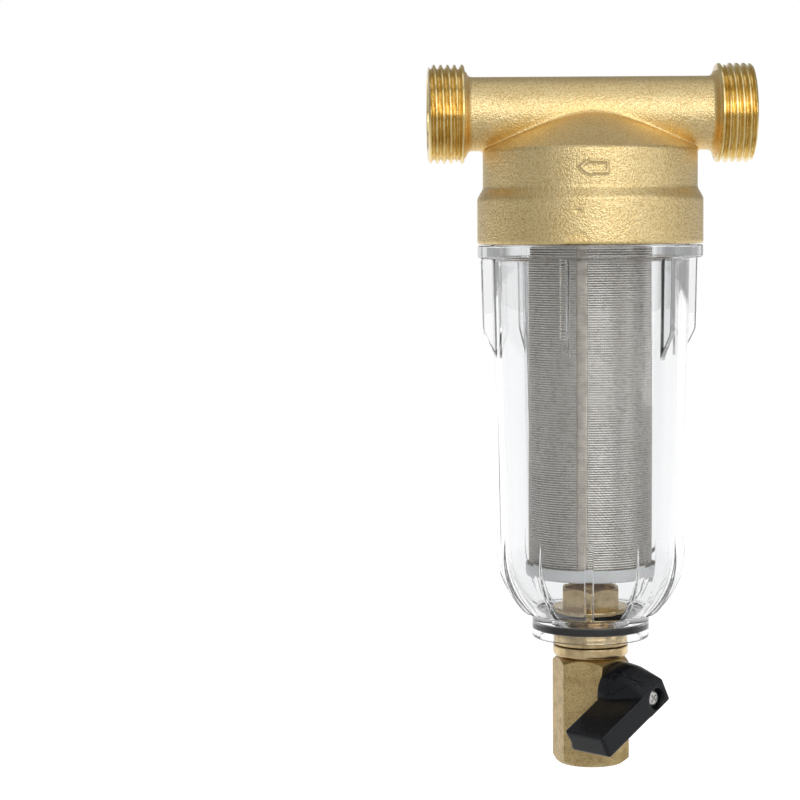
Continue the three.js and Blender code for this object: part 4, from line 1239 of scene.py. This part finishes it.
def lever():
    """Moulded lever: a round hub that tapers to the outer face, and a thick paddle, grooved underneath."""
    edge, tip_edge = 0.4, 0.6
    paddle = [
        (x, y, z)
        for y, shrink in ((0, 0), (LEVER_TIP - tip_edge, 0), (LEVER_TIP, tip_edge))
        for z in (LEVER_NEAR + 1 + shrink, LEVER_FAR - shrink)
        for x in (LEVER_LOW + shrink, LEVER_HIGH - shrink)
    ]
    rings = [
        (LEVER_NEAR, HUB_R - edge), (LEVER_NEAR + edge, HUB_R), (HUB_END - 1, HUB_R),
        (HUB_END, HUB_R - edge), (HUB_END + 3, 0.95 * HUB_R), (HUB_END + 6.5, 0.82 * HUB_R),
    ]
    turns = np.linspace(0, 2 * math.pi, 72, endpoint=False)
    hub = [(radius * math.cos(turn), radius * math.sin(turn), z) for turn in turns for z, radius in rings]
    hub += [(x, y, LEVER_FAR) for y in (LEVER_BACK, -LEVER_BACK) for x in (LEVER_LOW, LEVER_HIGH)]
    body = hull("lever_hub", hub)
    boolean(body, [hull("lever_paddle", paddle)], "UNION")
    groove = disc("groove", 3.4, HUB_R + 1, LEVER_TIP + 5)
    placed(groove, (1, 0, 0), (0, 0, -1), (0, 1, 0), (0.3, 0, LEVER_NEAR - 1.5))
    socket = prism("socket", rectangle(2.9, 3.7), 0, 25.25)
    boolean(body, [
        groove, socket, disc("entry", STEM_R + 0.3, 0, 13.6),
        disc("screw_hole", 1.9, SCREW_SEAT - 2.8, SCREW_SEAT + 0.8),
        disc("recess", RECESS_R, SCREW_SEAT - 1, LEVER_FAR + 2),
    ])
    remesh = body.modifiers.new("voxels", "REMESH")
    remesh.mode = "VOXEL"
    remesh.voxel_size = LEVER_VOXEL * MM
    smooth = body.modifiers.new("soften", "SMOOTH")
    smooth.factor = 0.5
    smooth.iterations = 18
    bake_modifiers(body)
    body = joined("lever_body", [body, *raised_outline(body, HUB_TRIANGLE)])
    return about_stem(shade(body, 180))


def handle_screw():
    """Pan head with a cross recess, on a plain shank."""
    shank_r, shank_end = 1.5, SCREW_SEAT - 8
    head = turned("screw", [
        (0, shank_end), (shank_r, shank_end, 0.3), (shank_r, SCREW_SEAT), (SCREW_HEAD_R, SCREW_SEAT, 0.1),
        (SCREW_HEAD_R, SCREW_SEAT + 1.4, 0.5), (2.0, SCREW_SEAT + 1.95, 0.6), (0, SCREW_SEAT + 2.15),
    ], 64)
    arms = []
    for angle in (20, 110):
        turn = Matrix.Rotation(math.radians(angle), 2)
        outline = [tuple(turn @ Vector(corner)) for corner in rectangle(1.55, 0.33)]
        arms.append(prism("arm", outline, SCREW_SEAT + 0.8, SCREW_SEAT + 3))
    boolean(head, arms)
    soften(head, 0.06, 40, 1)
    head.name = "lever_screw"
    return about_stem(shade(head, 35))


# ---------- assembly ----------


def build_pieces():
    """Every piece with its material, the body it moves with, the CAD node it stands for and its slot."""
    cartridge, handle = "screen_cartridge", "valve_handle"
    for obj, material, body, node, slot in (
        (head_body(), CAST_BRASS, "head", "head_casting", "cast_brass"),
        (port_end("inlet_port_end", 1), PORT_BRASS, "head", "head_casting", "turned_brass"),
        (port_end("outlet_port_end", -1), PORT_BRASS, "head", "head_casting", "turned_brass"),
        (clear_bowl(), CLEAR_PLASTIC, "bowl", "clear_bowl", "clear_plastic"),
        (bowl_seal(), BLACK_RUBBER, cartridge, "bowl_gasket", "black_rubber"),
        (woven_screen(), WOVEN_STEEL, cartridge, "screen_mesh", "woven_steel"),
        (screen_seam(), SEAM_STEEL, cartridge, "screen_mesh", "woven_steel"),
        (top_collar(), WHITE_PLASTIC, cartridge, "screen_top_collar", "white_plastic"),
        (bottom_cap(), WHITE_PLASTIC, cartridge, "screen_bottom_cap", "white_plastic"),
        (collar_seal(), BLACK_RUBBER, cartridge, "screen_top_oring", "black_rubber"),
        (lock_nut(), TURNED_BRASS, "bowl", "drain_locknut", "turned_brass"),
        (nut_seal(), BLACK_RUBBER, "bowl", "locknut_washer", "black_rubber"),
        (neck_seal(), BLACK_RUBBER, "bowl", "neck_gasket", "black_rubber"),
        (drain_spigot(), TURNED_BRASS, "bowl", "drain_spigot", "turned_brass"),
        (lock_ring(), TURNED_BRASS, "bowl", "valve_lock_ring", "turned_brass"),
        (valve_body(), FORGED_BRASS, "bowl", "valve_body", "forged_brass"),
        (ball_retainer(), TURNED_BRASS, "bowl", "ball_retainer", "turned_brass"),
        (valve_ball(), CHROME, handle, "valve_ball", "chrome"),
        (valve_stem(), TURNED_BRASS, handle, "valve_stem", "turned_brass"),
        (lever(), BLACK_PLASTIC, handle, "handle_lever", "black_plastic"),
        (handle_screw(), STAINLESS, handle, "handle_screw", "stainless_steel"),
    ):
        finish_piece(obj, material, body, [node])


def dress_hidden_nodes():
    """CAD nodes that stay as they are, inside other pieces, get the right material."""
    for node, material in (
        ("screen_support", STAINLESS), ("valve_seat_upper", SEAL_PLASTIC),
        ("valve_seat_lower", SEAL_PLASTIC), ("stem_thrust_washer", SEAL_PLASTIC),
        ("stem_oring", BLACK_RUBBER), ("handle_screw_washer", STAINLESS),
    ):
        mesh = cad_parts[node].data
        mesh.materials.clear()
        mesh.materials.append(material)


# ---------- studio ----------


def add_camera():
    """A long lens, a little left of the object and below its ports, looking slightly down."""
    camera = bpy.data.cameras.new("camera")
    camera.lens = CAMERA_LENS
    camera.sensor_width = 36
    camera.clip_start = 0.01
    obj = linked("camera", camera)
    yaw, down, roll = (math.radians(angle) for angle in (CAMERA_YAW, CAMERA_DOWN, CAMERA_ROLL))
    turn = Matrix.Rotation(-yaw, 4, "Z") @ Matrix.Rotation(math.pi / 2 - down, 4, "X")
    obj.matrix_world = Matrix.Translation(CAMERA_PLACE) @ turn @ Matrix.Rotation(roll, 4, "Z")
    bpy.context.scene.camera = obj


def add_softbox(name, place, target, width, height, power):
    """A rectangular light that faces its target and isn't seen itself."""
    light = bpy.data.lights.new(name, "AREA")
    light.shape = "RECTANGLE"
    light.size = width
    light.size_y = height
    light.energy = power
    obj = linked(name, light)
    obj.location = place
    obj.rotation_euler = (Vector(target) - Vector(place)).to_track_quat("-Z", "Y").to_euler()
    obj.visible_camera = False


def add_world():
    """A room that is white straight behind the object, grey all round and a little lighter in front."""
    world = bpy.data.worlds.new("studio")
    bpy.context.scene.world = world
    world.use_nodes = True
    tree = world.node_tree
    background = tree.nodes["Background"]
    direction = add_node(tree, "ShaderNodeTexCoord").outputs["Generated"]
    parts = add_node(tree, "ShaderNodeSeparateXYZ")
    link(tree, direction, parts.inputs[0])
    behind = ramp(tree, parts.outputs["Y"], 0.36, 1.0, 0.94, 0.98)
    ahead = ramp(tree, parts.outputs["Y"], 0.62, 0.38, -0.9, -0.2)
    brighter = add_node(tree, "ShaderNodeMath", operation="MAXIMUM")
    link(tree, behind, brighter.inputs[0])
    link(tree, ahead, brighter.inputs[1])
    link(tree, brighter.outputs["Value"], background.inputs["Strength"])
    background.inputs["Color"].default_value = (1, 1, 1, 1)


def add_floor():
    """A pale floor that glows with painted light, more towards the back so that it meets the white wall."""
    material, tree, shader = new_material("floor")
    shader.inputs["Base Color"].default_value = (0.4, 0.4, 0.4, 1)
    shader.inputs["Roughness"].default_value = 0.9
    shader.inputs["Emission Color"].default_value = (1, 1, 1, 1)
    parts = add_node(tree, "ShaderNodeSeparateXYZ")
    link(tree, object_coordinates(tree), parts.inputs[0])
    # Painted light: the floor glows, from 0.3 in front to 0.92 at the back.
    link(tree, ramp(tree, parts.outputs["Y"], 0.3, 0.92, -0.1, 0.27), shader.inputs["Emission Strength"])
    bpy.ops.mesh.primitive_circle_add(vertices=96, radius=6, fill_type="NGON", location=(0, 0, FLOOR_Z))
    floor = bpy.context.object
    floor.name = "floor"
    floor.data.materials.append(material)


def add_front_card():
    """A plain card below the lens, seen only in reflections, that keeps the softbox off the bowl's front."""
    material, _, shader = new_material("front_card")
    shader.inputs["Base Color"].default_value = (0.80, 0.80, 0.80, 1)
    shader.inputs["Roughness"].default_value = 0.9
    bpy.ops.mesh.primitive_plane_add(size=1, location=(0, -0.95, -0.175), rotation=(math.pi / 2, 0, 0))
    card = bpy.context.object
    card.name = "front_card"
    card.scale = (1.1, 0.25, 1)
    card.data.materials.append(material)
    card.visible_camera = card.visible_diffuse = card.visible_transmission = card.visible_shadow = False


def set_up_render():
    scene = bpy.context.scene
    scene.view_settings.view_transform = "Standard"
    scene.cycles.max_bounces = 24
    scene.cycles.transmission_bounces = 20
    scene.cycles.glossy_bounces = 8
    scene.cycles.diffuse_bounces = 4
    scene.cycles.blur_glossy = 0.3


build_pieces()
dress_hidden_nodes()
add_camera()
add_world()
add_floor()
add_front_card()
for softbox in SOFTBOXES:
    add_softbox(*softbox)
set_up_render()
